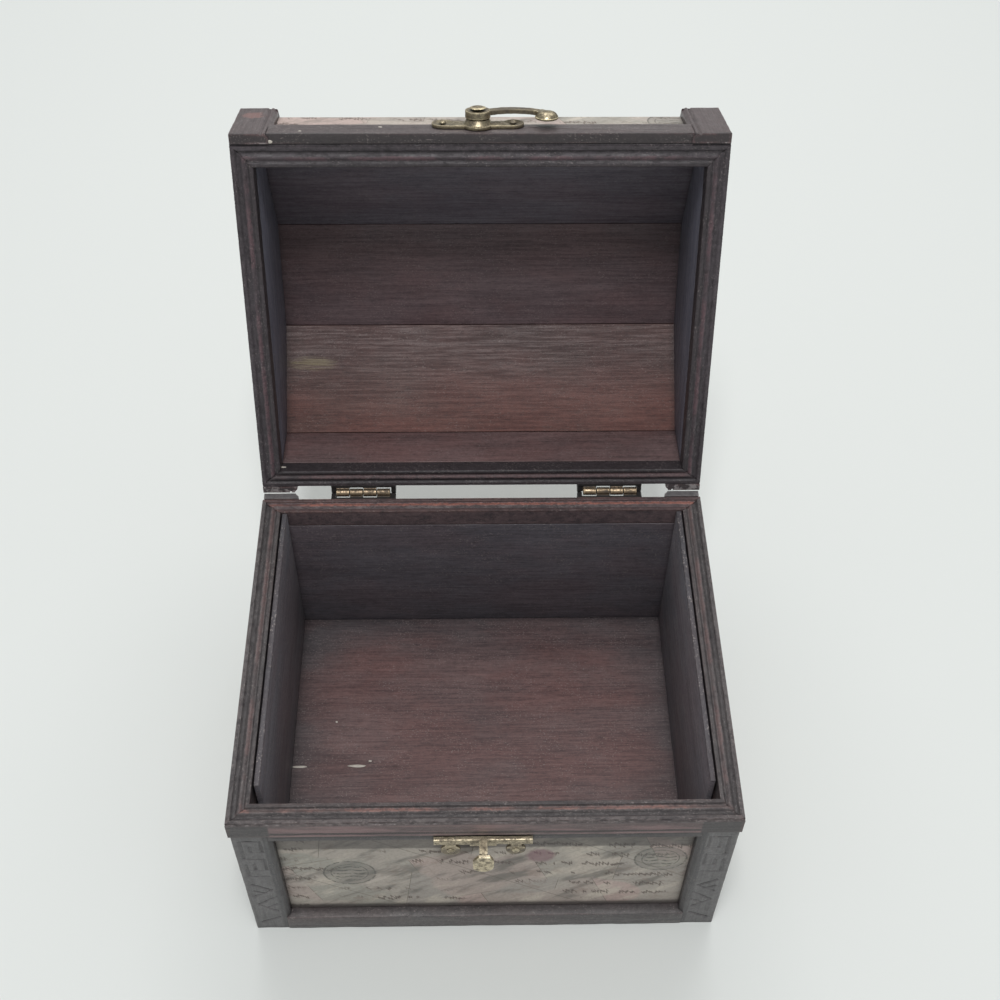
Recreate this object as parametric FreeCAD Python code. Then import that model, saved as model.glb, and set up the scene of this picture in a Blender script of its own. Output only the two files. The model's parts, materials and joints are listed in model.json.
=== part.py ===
import FreeCAD, Part
import math
import os

# A small domed wooden jewelry box on brass butt hinges, with a hook latch.
# Millimetres, +Z up, front to -Y. The origin is on the surface that the box stands on,
# in the middle of the front board's lower edge.
# The lid is drawn closed, then every lid piece is turned about the hinge pin to the
# open position, which is the rest pose.

V = FreeCAD.Vector

# Driving sizes of the closed box
box_width = 120.0         # over the side rims
box_depth = 99.0          # front rails to back posts
body_height = 59.0        # floor to the top of the body's rim
lid_gap = 0.5             # between the two rims when closed
lid_height = 38.0         # lid rim to the crown of the dome
spring_height = 21.0      # lid rim to where the dome starts to curve
open_angle = 108.785      # degrees, where the hinge ears meet
overrun = 1.0             # how far every cutting tool runs past its cut

# Layers of trim outside the boards, and the boards themselves
front_layer = 3.1
side_layer = 2.7
back_layer = 1.9
lid_front_layer = 2.5
lid_overhang = 0.5        # the lid's front trim stands this far ahead of the body's
wall = 2.6
back_wall = 4.6
bottom_thickness = 3.0
bottom_height = 4.7       # floor to the underside of the bottom board
groove_depth = 1.2        # for the bottom board's edges
paper_thickness = 0.2

# Rims: mitred moulded strips on both halves
rim_height = 6.0
lid_rim_height = 5.0
lid_front_rim_width = 5.9
front_shoulder = 1.55     # plain outer step of the moulding, at each strip
side_shoulder = 1.15
back_shoulder = 0.95
lid_front_shoulder = 1.75
shoulder_round_share = 0.7
moulding_depth = 0.55
bead_setback = 2.4        # bead centre from the strip's inner edge
bead_width = 1.3
inner_land = 1.15

# Posts, rails and the thin lining of the body
post_width = 9.5
side_post_width = 9.0
post_inset = 0.3          # body posts stand this far inside the rims
post_bevel = 1.0
base_height = 6.6
under_rail_height = 3.3
under_rail_inset = 0.4
liner_thickness = 1.5
liner_gap = 0.25
liner_front_gap = 4.6
liner_top_gap = 0.3
key_groove_width = 0.9
key_groove_depth = 0.45

# Lid staves: the inside is faceted, the outside is a bent dome
lid_rail_height = 7.4
low_corner_depth = 7.1    # under the dome, at the inner corner of lid board and side stave
top_corner_depth = 2.75   # under the dome, at the inner corner of side and top stave
low_corner_share = 0.932  # of the angle from the crown to where the dome starts
top_corner_share = 0.302
trim_width = 8.5
band_thickness = 2.2
lid_paper_back = 8.2      # lid rim to the paper's lower edge behind

# Hinges
hinge_inset = 26.1        # hinge centre from the side of the box
hinge_shift = 1.3         # both hinges sit this far to the right of even
pin_setback = 0.15        # pin centre behind the back posts
pin_radius = 0.5
pin_clearance = 0.04
knuckle_radius = 1.1
knuckle_length = 3.6
knuckle_gap = 0.1
knuckle_count = 4
leaf_width = 17.6
leaf_height = 8.0         # pin centre to the leaf's far edge
leaf_thickness = 0.7
leaf_edge = 0.35          # pin centre to the leaf's near edge
web_thickness = 0.75
ear_thickness = 1.2
ear_root = 0.75
ear_near = 0.95           # pin centre to the near and far ends of the stop edge
ear_far = 4.0
stop_clearance = 0.04
back_paper_gap = 0.7      # between a leaf and the body's back paper

# Nails and the rivet
nail_head_radius = 1.0
nail_head_height = 0.6
nail_radius = 0.45
nail_length = 3.2
hinge_nail_offset = 4.7
hinge_nail_drop = 4.5

# Latch on the lid front
latch_x = -0.7
latch_height = 5.3        # rivet above the lid rim
latch_plate = 0.9
latch_disc_radius = 3.9
latch_ear_offset = 8.5
latch_ear_rise = 0.5      # ear centre above the rivet
latch_ear_radius = 2.7
latch_bar_low = 2.2       # bar's lower and upper edges from the rivet
latch_bar_high = 2.0
latch_boss_radius = 2.7
latch_boss_foot = 3.5
latch_boss = 1.3
hook_gap = 0.1
hook_thickness = 1.2
hook_hub_thickness = 1.8
hook_hub_radius = 3.1
rivet_radius = 0.9
rivet_clearance = 0.05
rivet_collar_radius = 1.5
rivet_collar = 0.35
rivet_head_radius = 2.1
rivet_head = 0.45
rivet_bite = 1.8
ball_reach = 16.6
ball_radius = 2.7
ball_dome = 1.3
ball_foot = 0.6           # the ball narrows below its dome
ball_foot_radius = 2.2
ball_seat = 0.2           # the dome starts this far ahead of the arm's back
arm_wide = 2.4
arm_narrow = 2.0
arm_shares = [(0.0, 0.0), (0.18, 0.14), (0.41, 0.205), (0.65, 0.2), (0.83, 0.14), (1.0, 0.0)]

# Catch on the body front
catch_x = -0.6
catch_plate = 0.8
catch_bar_length = 23.4
catch_bar_height = 3.2
catch_top_gap = 1.1       # below the front rim
catch_bead_height = 1.9
catch_bead_depth = 0.5
catch_bead_round = 0.35
lobe_offset = 7.75
lobe_drop = 6.1
lobe_radius = 2.4
lobe_neck = 2.6
catch_root = 6.4
catch_root_drop = 0.9
neck_width = 2.0
neck_height = 0.7
tongue_width = 5.0
tongue_drop = 7.4
tongue_thickness = 0.9
tongue_reach = 4.8        # under rail face to the tongue's inner face
catch_nail_length = 4.9

# Carving of the posts, as shares of a post's width and height, counted from the
# post's inner lower corner: a key pattern above, a zigzag below
body_carving_shares = [
    [(0.80, 0.945), (0.30, 0.945), (0.30, 0.84), (0.58, 0.84), (0.58, 0.893)],
    [(0.80, 0.945), (0.80, 0.77), (0.30, 0.77), (0.30, 0.66), (0.58, 0.66), (0.58, 0.715)],
    [(0.80, 0.715), (0.80, 0.59), (0.30, 0.59)],
    [(0.78, 0.50), (0.32, 0.44), (0.78, 0.37)],
    [(0.78, 0.43), (0.52, 0.405)],
    [(0.26, 0.36), (0.78, 0.28), (0.32, 0.20)],
    [(0.26, 0.28), (0.52, 0.245)],
    [(0.30, 0.13), (0.78, 0.07)],
]
lid_carving_shares = [[(0.2, 0.0), (0.2, 1.0)]]     # one groove beside the bevel

# Planes that several pieces share
side_face = box_width / 2
front_face = -(front_layer + wall / 2)
back_face = front_face + box_depth
side_board_face = side_face - side_layer
front_board_face = front_face + front_layer
back_board_face = back_face - back_layer
inner_side = side_board_face - wall
inner_front = front_board_face + wall
inner_back = back_board_face - back_wall
board_top = body_height - rim_height
floor_top = bottom_height + bottom_thickness
post_outer = side_face - post_inset
post_inner = side_face - post_inset - post_width
post_front = front_face + post_inset
side_post_front = front_board_face + side_post_width
side_post_back = back_board_face - side_post_width
under_rail_front = front_face + under_rail_inset

lid_base = body_height + lid_gap
lid_rim_top = lid_base + lid_rim_height
lid_trim_face = front_face - lid_overhang
lid_front_face = lid_trim_face + lid_front_layer
lid_inner_front = lid_front_face + lid_front_rim_width
spring = lid_base + spring_height
crown = lid_base + lid_height
rail_top = lid_base + lid_rail_height
paper_back_edge = lid_base + lid_paper_back

band_middle = (lid_trim_face + back_face) / 2
dome_middle = (lid_front_face + back_board_face) / 2
dome_half = (back_board_face - lid_front_face) / 2
dome_rise = lid_height - spring_height
dome_radius = (dome_half ** 2 + dome_rise ** 2) / (2 * dome_rise)
dome_centre = crown - dome_radius
dome_angle_span = math.asin(dome_half / dome_radius)

left_hinge_x = hinge_inset + hinge_shift - side_face
right_hinge_x = side_face - hinge_inset + hinge_shift
pin_y = back_face + pin_setback
pin_z = body_height + lid_gap / 2
catch_top = board_top - catch_top_gap
latch_z = lid_base + latch_height


def block(x0, x1, y0, y1, z0, z1):
    return Part.makeBox(x1 - x0, y1 - y0, z1 - z0, V(x0, y0, z0))


def outline_face(points):
    return Part.Face(Part.makePolygon(points + points[:1]))


def prism_x(points, x0, x1):
    """A solid along X from an outline of (y, z) points."""
    return outline_face([V(x0, y, z) for y, z in points]).extrude(V(x1 - x0, 0, 0))


def prism_z(points, z0, z1):
    """A solid along Z from an outline of (x, y) points."""
    return outline_face([V(x, y, z0) for x, y in points]).extrude(V(0, 0, z1 - z0))


def disc(x, z, radius, y0, y1):
    """A round solid along Y, from y0 out to y1."""
    return Part.makeCylinder(radius, y1 - y0, V(x, y0, z), V(0, 1, 0))


def mirrored(shape):
    return shape.mirror(V(0, 0, 0), V(1, 0, 0))


def fused(shapes):
    return shapes[0].multiFuse(shapes[1:]).removeSplitter()


def line(start, end):
    return Part.makeLine(start, end)


def arc(start, middle, end):
    return Part.Arc(start, middle, end).toShape()


def yz(y, z):
    return V(0, y, z)


def curved_prism_x(edges, x0, x1):
    """A solid along X from edges drawn at x = 0."""
    face = Part.Face(Part.Wire(edges))
    face.translate(V(x0, 0, 0))
    return face.extrude(V(x1 - x0, 0, 0))


def domed_cap(x, y, z, outward, radius, height):
    """The cap of a sphere standing on (x, y, z); outward is +1 or -1 along Y."""
    dome_size = (radius ** 2 + height ** 2) / (2 * height)
    seat_angle = math.degrees(math.asin((dome_size - height) / dome_size))
    out = V(0, outward, 0)
    return Part.makeSphere(dome_size, V(x, y, z) + out * (height - dome_size), out, seat_angle, 90, 360)


def nail(x, y, z, outward, head_radius, head, radius, length):
    """A round-headed nail whose head seats at (x, y, z); outward is +1 or -1 along Y."""
    cap = domed_cap(x, y, z, outward, head_radius, head)
    shank = Part.makeCylinder(radius, length, V(x, y, z), V(0, -outward, 0))
    return cap.fuse(shank)


def moulding(place, width, shoulder, height):
    """The rim strip's cross-section; place turns (inward, up) into a point."""
    rounding = shoulder * shoulder_round_share
    bend = rounding * (1 - math.sin(math.radians(45)))
    low = height - moulding_depth
    bead = width - bead_setback
    bead_start = bead - bead_width / 2
    bead_end = bead + bead_width / 2
    land = width - inner_land
    start = place(0, 0)
    side = place(0, height - rounding)
    top = place(rounding, height)
    edges = [line(start, side), arc(side, place(bend, height - bend), top)]
    edges.append(line(top, place(shoulder, height)))
    edges.append(line(place(shoulder, height), place(shoulder, low)))
    edges.append(line(place(shoulder, low), place(bead_start, low)))
    edges.append(arc(place(bead_start, low), place(bead, height), place(bead_end, low)))
    edges.append(line(place(bead_end, low), place(land, low)))
    edges.append(line(place(land, low), place(land, height)))
    edges.append(line(place(land, height), place(width, height)))
    edges.append(line(place(width, height), place(width, 0)))
    edges.append(line(place(width, 0), start))
    return Part.Face(Part.Wire(edges))


def rim_frame(front, front_inner, base, up, height, shoulders):
    """Four mitred strips: front, back, left, right. up is +1 for the body, -1 for the lid."""
    low = min(base, base + up * height) - overrun
    high = max(base, base + up * height) + overrun
    front_width = front_inner - front
    side_width = side_face - inner_side
    back_width = back_board_face - inner_back
    front_profile = moulding(lambda t, h: V(-side_face, front + t, base + up * h),
                             front_width, shoulders[0], height)
    back_profile = moulding(lambda t, h: V(-side_face, back_board_face - t, base + up * h),
                            back_width, shoulders[2], height)
    side_profile = moulding(lambda t, h: V(side_face - t, front, base + up * h),
                            side_width, shoulders[1], height)
    front_plan = [(-side_face, front), (side_face, front),
                  (inner_side, front_inner), (-inner_side, front_inner)]
    back_plan = [(-side_face, back_board_face), (side_face, back_board_face),
                 (inner_side, inner_back), (-inner_side, inner_back)]
    side_plan = [(side_face, front), (side_face, back_board_face), (inner_side, inner_back),
                 (inner_side, front_inner)]
    run = V(box_width, 0, 0)
    depth = V(0, back_board_face - front, 0)
    front_strip = front_profile.extrude(run).common(prism_z(front_plan, low, high))
    back_strip = back_profile.extrude(run).common(prism_z(back_plan, low, high))
    right_strip = side_profile.extrude(depth).common(prism_z(side_plan, low, high))
    return front_strip, back_strip, mirrored(right_strip), right_strip


def carve(solid, shares, place, width, height):
    """V grooves along strokes; place turns (across, up, outward) into a point on the face."""
    half = key_groove_width / 2
    for stroke in shares:
        for first, second in zip(stroke, stroke[1:]):
            start = V(first[0] * width, first[1] * height, 0)
            end = V(second[0] * width, second[1] * height, 0)
            along = (end - start).normalize()
            across = along.cross(V(0, 0, 1))
            start = start - along * half
            end = end + along * half
            ends = []
            for point in (start, end):
                corners = [point + across * half * 2 + V(0, 0, key_groove_depth),
                           point - across * half * 2 + V(0, 0, key_groove_depth),
                           point - V(0, 0, key_groove_depth)]
                ends.append(outline_face([place(p.x, p.y, p.z) for p in corners]))
            travel = place(end.x, end.y, 0) - place(start.x, start.y, 0)
            solid = solid.cut(ends[0].extrude(travel))
    return solid


def front_post(face, back, outer, base, top, shares):
    """A right-hand post on the front, bevelled along its inner edge and carved."""
    inner = outer - post_width
    plan = [(inner, back), (inner, face + post_bevel), (inner + post_bevel, face),
            (outer, face), (outer, back)]
    solid = prism_z(plan, base, top)
    return carve(solid, shares, lambda u, v, w: V(inner + u, face - w, base + v), post_width, top - base)


def back_post(outer, base, top, shares):
    inner = outer - post_width
    plan = [(inner, back_board_face), (outer, back_board_face), (outer, back_face),
            (inner + post_bevel, back_face), (inner, back_face - post_bevel)]
    solid = prism_z(plan, base, top)
    return carve(solid, shares, lambda u, v, w: V(inner + u, back_face + w, base + v),
                 post_width, top - base)


def side_posts():
    """The two posts on the right-hand side, one at each corner."""
    front = prism_z([(side_board_face, front_board_face), (post_outer, front_board_face),
                     (post_outer, side_post_front - post_bevel), (post_outer - post_bevel, side_post_front),
                     (side_board_face, side_post_front)], 0, board_top)
    back = prism_z([(side_board_face, side_post_back), (post_outer - post_bevel, side_post_back),
                    (post_outer, side_post_back + post_bevel), (post_outer, back_board_face),
                    (side_board_face, back_board_face)], 0, board_top)
    front = carve(front, body_carving_shares, lambda u, v, w: V(post_outer + w, side_post_front - u, v),
                  side_post_width, board_top)
    back = carve(back, body_carving_shares, lambda u, v, w: V(post_outer + w, side_post_back + u, v),
                 side_post_width, board_top)
    return [front, back]


def body_boards():
    """Bottom board held in grooves of the four wall boards."""
    groove_x = inner_side + groove_depth
    groove_front = inner_front - groove_depth
    groove_back = inner_back + groove_depth
    bottom = block(-groove_x, groove_x, groove_front, groove_back, bottom_height, floor_top)
    front = block(-side_board_face, side_board_face, front_board_face, inner_front, 0, board_top).cut(bottom)
    back = block(-side_board_face, side_board_face, inner_back, back_board_face, 0, board_top).cut(bottom)
    right = block(inner_side, side_board_face, inner_front, inner_back, 0, board_top).cut(bottom)
    return bottom, front, back, right


def base_rails():
    front = block(-post_inner, post_inner, front_face, front_board_face, 0, base_height)
    back = block(-post_inner, post_inner, back_board_face, back_face, 0, base_height)
    right = block(side_board_face, side_face, side_post_front, side_post_back, 0, base_height)
    return front, back, right


def dome_point(angle):
    """A point on the outside of the dome, by its angle from straight up, towards the back."""
    return yz(dome_middle + dome_radius * math.sin(angle), dome_centre + dome_radius * math.cos(angle))


def inner_corner(share, depth, side):
    """An inner corner of the lid as (y, z); side is -1 towards the front, +1 towards the back."""
    angle = side * share * dome_angle_span
    reach = dome_radius - depth
    return dome_middle + reach * math.sin(angle), dome_centre + reach * math.cos(angle)


def low_corner(side):
    return inner_corner(low_corner_share, low_corner_depth, side)


def top_corner(side):
    return inner_corner(top_corner_share, top_corner_depth, side)


def dome_edge(first, last):
    return arc(dome_point(first), dome_point((first + last) / 2), dome_point(last))


def lid_boards():
    """Front and back lid boards, upright outside and leaning in on the inside."""
    joint = low_corner_share * dome_angle_span
    front_corner = yz(*low_corner(-1))
    back_corner = yz(*low_corner(1))
    front = [line(yz(lid_front_face, lid_rim_top), yz(lid_front_face, spring)),
             dome_edge(-dome_angle_span, -joint),
             line(dome_point(-joint), front_corner),
             line(front_corner, yz(lid_inner_front, lid_rim_top)),
             line(yz(lid_inner_front, lid_rim_top), yz(lid_front_face, lid_rim_top))]
    back = [line(yz(back_board_face, lid_rim_top), yz(back_board_face, spring)),
            dome_edge(dome_angle_span, joint),
            line(dome_point(joint), back_corner),
            line(back_corner, yz(inner_back, lid_rim_top)),
            line(yz(inner_back, lid_rim_top), yz(back_board_face, lid_rim_top))]
    return (curved_prism_x(front, -side_board_face, side_board_face),
            curved_prism_x(back, -side_board_face, side_board_face))


def stave(first_share, last_share, first_corner, last_corner):
    """One stave between two inner corners, with joints square to the dome."""
    first = first_share * dome_angle_span
    last = last_share * dome_angle_span
    edges = [line(yz(*first_corner), dome_point(first)),
             dome_edge(first, last),
             line(dome_point(last), yz(*last_corner)),
             line(yz(*last_corner), yz(*first_corner))]
    return curved_prism_x(edges, -side_board_face, side_board_face)


def lid_end():
    """Right-hand end panel, inside the staves."""
    outline = [(lid_inner_front, lid_rim_top), low_corner(-1), top_corner(-1),
               top_corner(1), low_corner(1), (inner_back, lid_rim_top)]
    return prism_x(outline, inner_side, side_board_face)


def end_trim():
    """Right-hand arch of trim that frames the lid's end panel."""
    inner_radius = dome_radius - trim_width
    inner_half = dome_half - trim_width
    inner_spring = dome_centre + math.sqrt(inner_radius ** 2 - inner_half ** 2)
    outer = [line(yz(lid_front_face, lid_rim_top), yz(lid_front_face, spring)),
             dome_edge(-dome_angle_span, dome_angle_span),
             line(yz(back_board_face, spring), yz(back_board_face, lid_rim_top))]
    leg_front = lid_front_face + trim_width
    leg_back = back_board_face - trim_width
    inner = [line(yz(back_board_face, lid_rim_top), yz(leg_back, lid_rim_top)),
             line(yz(leg_back, lid_rim_top), yz(leg_back, inner_spring)),
             arc(yz(leg_back, inner_spring), yz(dome_middle, crown - trim_width),
                 yz(leg_front, inner_spring)),
             line(yz(leg_front, inner_spring), yz(leg_front, lid_rim_top)),
             line(yz(leg_front, lid_rim_top), yz(lid_front_face, lid_rim_top))]
    return curved_prism_x(outer + inner, side_board_face, side_face)


def arch_band():
    """Right-hand bent strip over the dome, from the front post to the back post."""
    top = yz(band_middle, crown + band_thickness)
    edges = [arc(yz(lid_trim_face, spring), top, yz(back_face, spring)),
             line(yz(back_face, spring), yz(back_board_face, spring)),
             dome_edge(dome_angle_span, -dome_angle_span),
             line(yz(lid_front_face, spring), yz(lid_trim_face, spring))]
    return curved_prism_x(edges, side_face - post_width, side_face)


def lid_paper():
    """Printed paper glued over the dome, from the front rail to behind the hinges."""
    front = lid_front_face - paper_thickness
    back = back_board_face + paper_thickness
    outer_radius = dome_radius + paper_thickness
    outer_half = dome_half + paper_thickness
    outer_spring = dome_centre + math.sqrt(outer_radius ** 2 - outer_half ** 2)
    edges = [line(yz(front, rail_top), yz(front, outer_spring)),
             arc(yz(front, outer_spring), yz(dome_middle, crown + paper_thickness), yz(back, outer_spring)),
             line(yz(back, outer_spring), yz(back, paper_back_edge)),
             line(yz(back, paper_back_edge), yz(back_board_face, paper_back_edge)),
             line(yz(back_board_face, paper_back_edge), yz(back_board_face, spring)),
             dome_edge(dome_angle_span, -dome_angle_span),
             line(yz(lid_front_face, spring), yz(lid_front_face, rail_top)),
             line(yz(lid_front_face, rail_top), yz(front, rail_top))]
    inner = side_face - post_width
    return curved_prism_x(edges, -inner, inner)


def lid_end_paper():
    """Right-hand end paper, inside the arch of trim."""
    inner_radius = dome_radius - trim_width
    inner_half = dome_half - trim_width
    inner_spring = dome_centre + math.sqrt(inner_radius ** 2 - inner_half ** 2)
    leg_front = lid_front_face + trim_width
    leg_back = back_board_face - trim_width
    edges = [line(yz(leg_front, lid_rim_top), yz(leg_front, inner_spring)),
             arc(yz(leg_front, inner_spring), yz(dome_middle, crown - trim_width),
                 yz(leg_back, inner_spring)),
             line(yz(leg_back, inner_spring), yz(leg_back, lid_rim_top)),
             line(yz(leg_back, lid_rim_top), yz(leg_front, lid_rim_top))]
    return curved_prism_x(edges, side_board_face, side_board_face + paper_thickness)


def knuckle_centre(centre_x, index):
    pitch = knuckle_length + knuckle_gap
    return centre_x + (index - (knuckle_count - 1) / 2) * pitch


def pin_hole(centre_x):
    start = V(centre_x - leaf_width / 2, pin_y, pin_z)
    return Part.makeCylinder(pin_radius + pin_clearance, leaf_width, start, V(1, 0, 0))


def hinge_pin(centre_x):
    length = knuckle_count * knuckle_length + (knuckle_count - 1) * knuckle_gap
    return Part.makeCylinder(pin_radius, length, V(centre_x - length / 2, pin_y, pin_z), V(1, 0, 0))


def hinge_nail_places(centre_x, up):
    return [(centre_x + side * hinge_nail_offset, pin_z + up * hinge_nail_drop) for side in (-1, 1)]


def hinge_leaf(centre_x, up, first_knuckle):
    """A leaf on the back, with two ears that stop the lid; up is +1 on the lid, -1 on the body."""
    half = leaf_width / 2
    near = pin_z + up * leaf_edge
    far = pin_z + up * leaf_height
    face = back_board_face + leaf_thickness
    plate = block(centre_x - half, centre_x + half, back_board_face, face, min(near, far), max(near, far))
    parts = [plate]
    web_far = near + up * web_thickness
    for index in range(first_knuckle, knuckle_count, 2):
        middle = knuckle_centre(centre_x, index)
        start = middle - knuckle_length / 2
        parts.append(block(start, start + knuckle_length, back_board_face, pin_y, min(near, web_far),
                           max(near, web_far)))
        parts.append(Part.makeCylinder(knuckle_radius, knuckle_length, V(start, pin_y, pin_z), V(1, 0, 0)))
    stop = math.radians(open_angle / 2)
    edge_y = [reach * math.cos(stop) - stop_clearance * math.sin(stop) for reach in (ear_near, ear_far)]
    edge_z = [reach * math.sin(stop) + stop_clearance * math.cos(stop) for reach in (ear_near, ear_far)]
    ear = [(face, pin_z + up * ear_root), (pin_y + edge_y[0], pin_z + up * edge_z[0]),
           (pin_y + edge_y[1], pin_z + up * edge_z[1]), (face, far)]
    for start in (centre_x - half, centre_x + half - ear_thickness):
        parts.append(prism_x(ear, start, start + ear_thickness))
        lug = [(back_board_face, pin_z + up * ear_root), (face, pin_z + up * ear_root), (face, far),
               (back_board_face, far)]
        parts.append(prism_x(lug, start, start + ear_thickness))
    leaf = fused(parts).cut(pin_hole(centre_x))
    for x, z in hinge_nail_places(centre_x, up):
        leaf = leaf.cut(disc(x, z, nail_radius, back_board_face - overrun, face + overrun))
    return leaf


def hinge_nails(up):
    face = back_board_face + leaf_thickness
    places = hinge_nail_places(left_hinge_x, up) + hinge_nail_places(right_hinge_x, up)
    return [nail(x, face, z, 1, nail_head_radius, nail_head_height, nail_radius, nail_length)
            for x, z in places]


def latch_nail_places():
    z = latch_z + latch_ear_rise
    return [(latch_x - latch_ear_offset, z), (latch_x + latch_ear_offset, z)]


def latch_base():
    """Stamped plate with two nailed ears and a raised boss under the hook."""
    face = lid_trim_face - latch_plate
    parts = [disc(latch_x, latch_z, latch_disc_radius, face, lid_trim_face)]
    parts.append(block(latch_x - latch_ear_offset, latch_x + latch_ear_offset, face, lid_trim_face,
                       latch_z - latch_bar_low, latch_z + latch_bar_high))
    for x, ear_z in latch_nail_places():
        parts.append(disc(x, ear_z, latch_ear_radius, face, lid_trim_face))
    parts.append(Part.makeCone(latch_boss_foot, latch_boss_radius, latch_boss, V(latch_x, face, latch_z),
                               V(0, -1, 0)))
    plate = fused(parts)
    for x, ear_z in latch_nail_places():
        plate = plate.cut(disc(x, ear_z, nail_radius, face - overrun, lid_trim_face + overrun))
    return plate.cut(disc(latch_x, latch_z, rivet_radius, face - latch_boss - overrun,
                          lid_trim_face + overrun))


def latch_nails():
    face = lid_trim_face - latch_plate
    return [nail(x, face, z, -1, nail_head_radius, nail_head_height, nail_radius, latch_plate + rivet_bite)
            for x, z in latch_nail_places()]


def latch_rivet():
    """Rivet with a collar over the hook's hub and a flat, slightly domed head."""
    hub_front = lid_trim_face - latch_plate - latch_boss - 2 * hook_gap - hook_hub_thickness
    seat = hub_front - rivet_collar
    length = lid_trim_face + rivet_bite - seat
    head = nail(latch_x, seat, latch_z, -1, rivet_head_radius, rivet_head, rivet_radius, length)
    return head.fuse(disc(latch_x, latch_z, rivet_collar_radius, seat, hub_front))


def hook_arm(back, front):
    """The curved arm, drawn along its centre line and thinner towards the ball."""
    centres = [V(latch_x + u * ball_reach, back, latch_z + v * ball_reach) for u, v in arm_shares]
    upper = []
    lower = []
    count = len(centres) - 1
    for index, point in enumerate(centres):
        before = centres[max(index - 1, 0)]
        after = centres[min(index + 1, count)]
        along = (after - before).normalize()
        across = V(-along.z, 0, along.x)
        half = (arm_wide + (arm_narrow - arm_wide) * index / count) / 2
        upper.append(point + across * half)
        lower.append(point - across * half)
    top_curve = Part.BSplineCurve()
    top_curve.interpolate(upper)
    low_curve = Part.BSplineCurve()
    low_curve.interpolate(lower)
    edges = [top_curve.toShape(), line(upper[-1], lower[-1]), low_curve.toShape(), line(lower[0], upper[0])]
    wire = Part.Wire(Part.__sortEdges__(edges))
    return Part.Face(wire).extrude(V(0, front - back, 0))


def hook():
    """Hook that turns on the rivet: hub, curved arm and a low ball at its end."""
    back = lid_trim_face - latch_plate - latch_boss - hook_gap
    front = back - hook_thickness
    hub = disc(latch_x, latch_z, hook_hub_radius, back - hook_hub_thickness, back)
    ball_x = latch_x + ball_reach
    rim = back - ball_seat
    dome = domed_cap(ball_x, rim, latch_z, -1, ball_radius, ball_dome)
    foot = Part.makeCone(ball_foot_radius, ball_radius, ball_foot, V(ball_x, rim + ball_foot, latch_z),
                         V(0, -1, 0))
    solid = fused([hub, hook_arm(back, front), dome, foot])
    return solid.cut(disc(latch_x, latch_z, rivet_radius + rivet_clearance,
                          back - hook_hub_thickness - overrun, back + overrun))


def catch_nail_places():
    z = catch_top - lobe_drop
    return [(catch_x - lobe_offset, z), (catch_x + lobe_offset, z)]


def rounded_bar(x0, x1, y0, y1, z0, z1, radius):
    """A bar along X whose long front edges are rounded."""
    bend = radius * (1 - math.sin(math.radians(45)))
    edges = [line(yz(y1, z0), yz(y1, z1)), line(yz(y1, z1), yz(y0 + radius, z1)),
             arc(yz(y0 + radius, z1), yz(y0 + bend, z1 - bend), yz(y0, z1 - radius)),
             line(yz(y0, z1 - radius), yz(y0, z0 + radius)),
             arc(yz(y0, z0 + radius), yz(y0 + bend, z0 + bend), yz(y0 + radius, z0)),
             line(yz(y0 + radius, z0), yz(y1, z0))]
    return curved_prism_x(edges, x0, x1)


def catch():
    """Stamped catch: nailed bar with two lobes, and a tongue that the hook's ball sits behind."""
    back = under_rail_front
    face = back - catch_plate
    half = catch_bar_length / 2
    bar_low = catch_top - catch_bar_height
    parts = [block(catch_x - half, catch_x + half, face, back, bar_low, catch_top)]
    parts.append(rounded_bar(catch_x - half, catch_x + half, face - catch_bead_depth, face,
                             catch_top - catch_bead_height, catch_top, catch_bead_round))
    for x, z in catch_nail_places():
        parts.append(disc(x, z, lobe_radius, face, back))
        parts.append(block(x - lobe_neck / 2, x + lobe_neck / 2, face, back, z, bar_low))
    parts.append(block(catch_x - catch_root / 2, catch_x + catch_root / 2, face, back,
                       bar_low - catch_root_drop, bar_low))
    tongue_back = back - tongue_reach
    tongue_front = tongue_back - tongue_thickness
    parts.append(block(catch_x - neck_width / 2, catch_x + neck_width / 2, tongue_front, face,
                       catch_top - neck_height, catch_top))
    tip_z = catch_top - tongue_drop + tongue_width / 2
    parts.append(block(catch_x - tongue_width / 2, catch_x + tongue_width / 2, tongue_front, tongue_back,
                       tip_z, catch_top))
    parts.append(disc(catch_x, tip_z, tongue_width / 2, tongue_front, tongue_back))
    plate = fused(parts)
    for x, z in catch_nail_places():
        plate = plate.cut(disc(x, z, nail_radius, face - overrun, back + overrun))
    return plate


def catch_nails():
    face = under_rail_front - catch_plate
    return [nail(x, face, z, -1, nail_head_radius, nail_head_height, nail_radius, catch_nail_length)
            for x, z in catch_nail_places()]


def without(shape, tools):
    for tool in tools:
        shape = shape.cut(tool)
    return shape


def opened(shape):
    """A closed lid piece, turned to the open rest pose about the hinge pin."""
    turned = shape.copy()
    turned.rotate(V(0, pin_y, pin_z), V(1, 0, 0), -open_angle)
    return turned


def save(name, *solids):
    shape = solids[0] if len(solids) == 1 else Part.makeCompound(list(solids))
    shape.exportStep("parts/" + name + ".step")


def save_lid(name, *solids):
    save(name, *[opened(solid) for solid in solids])


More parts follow.
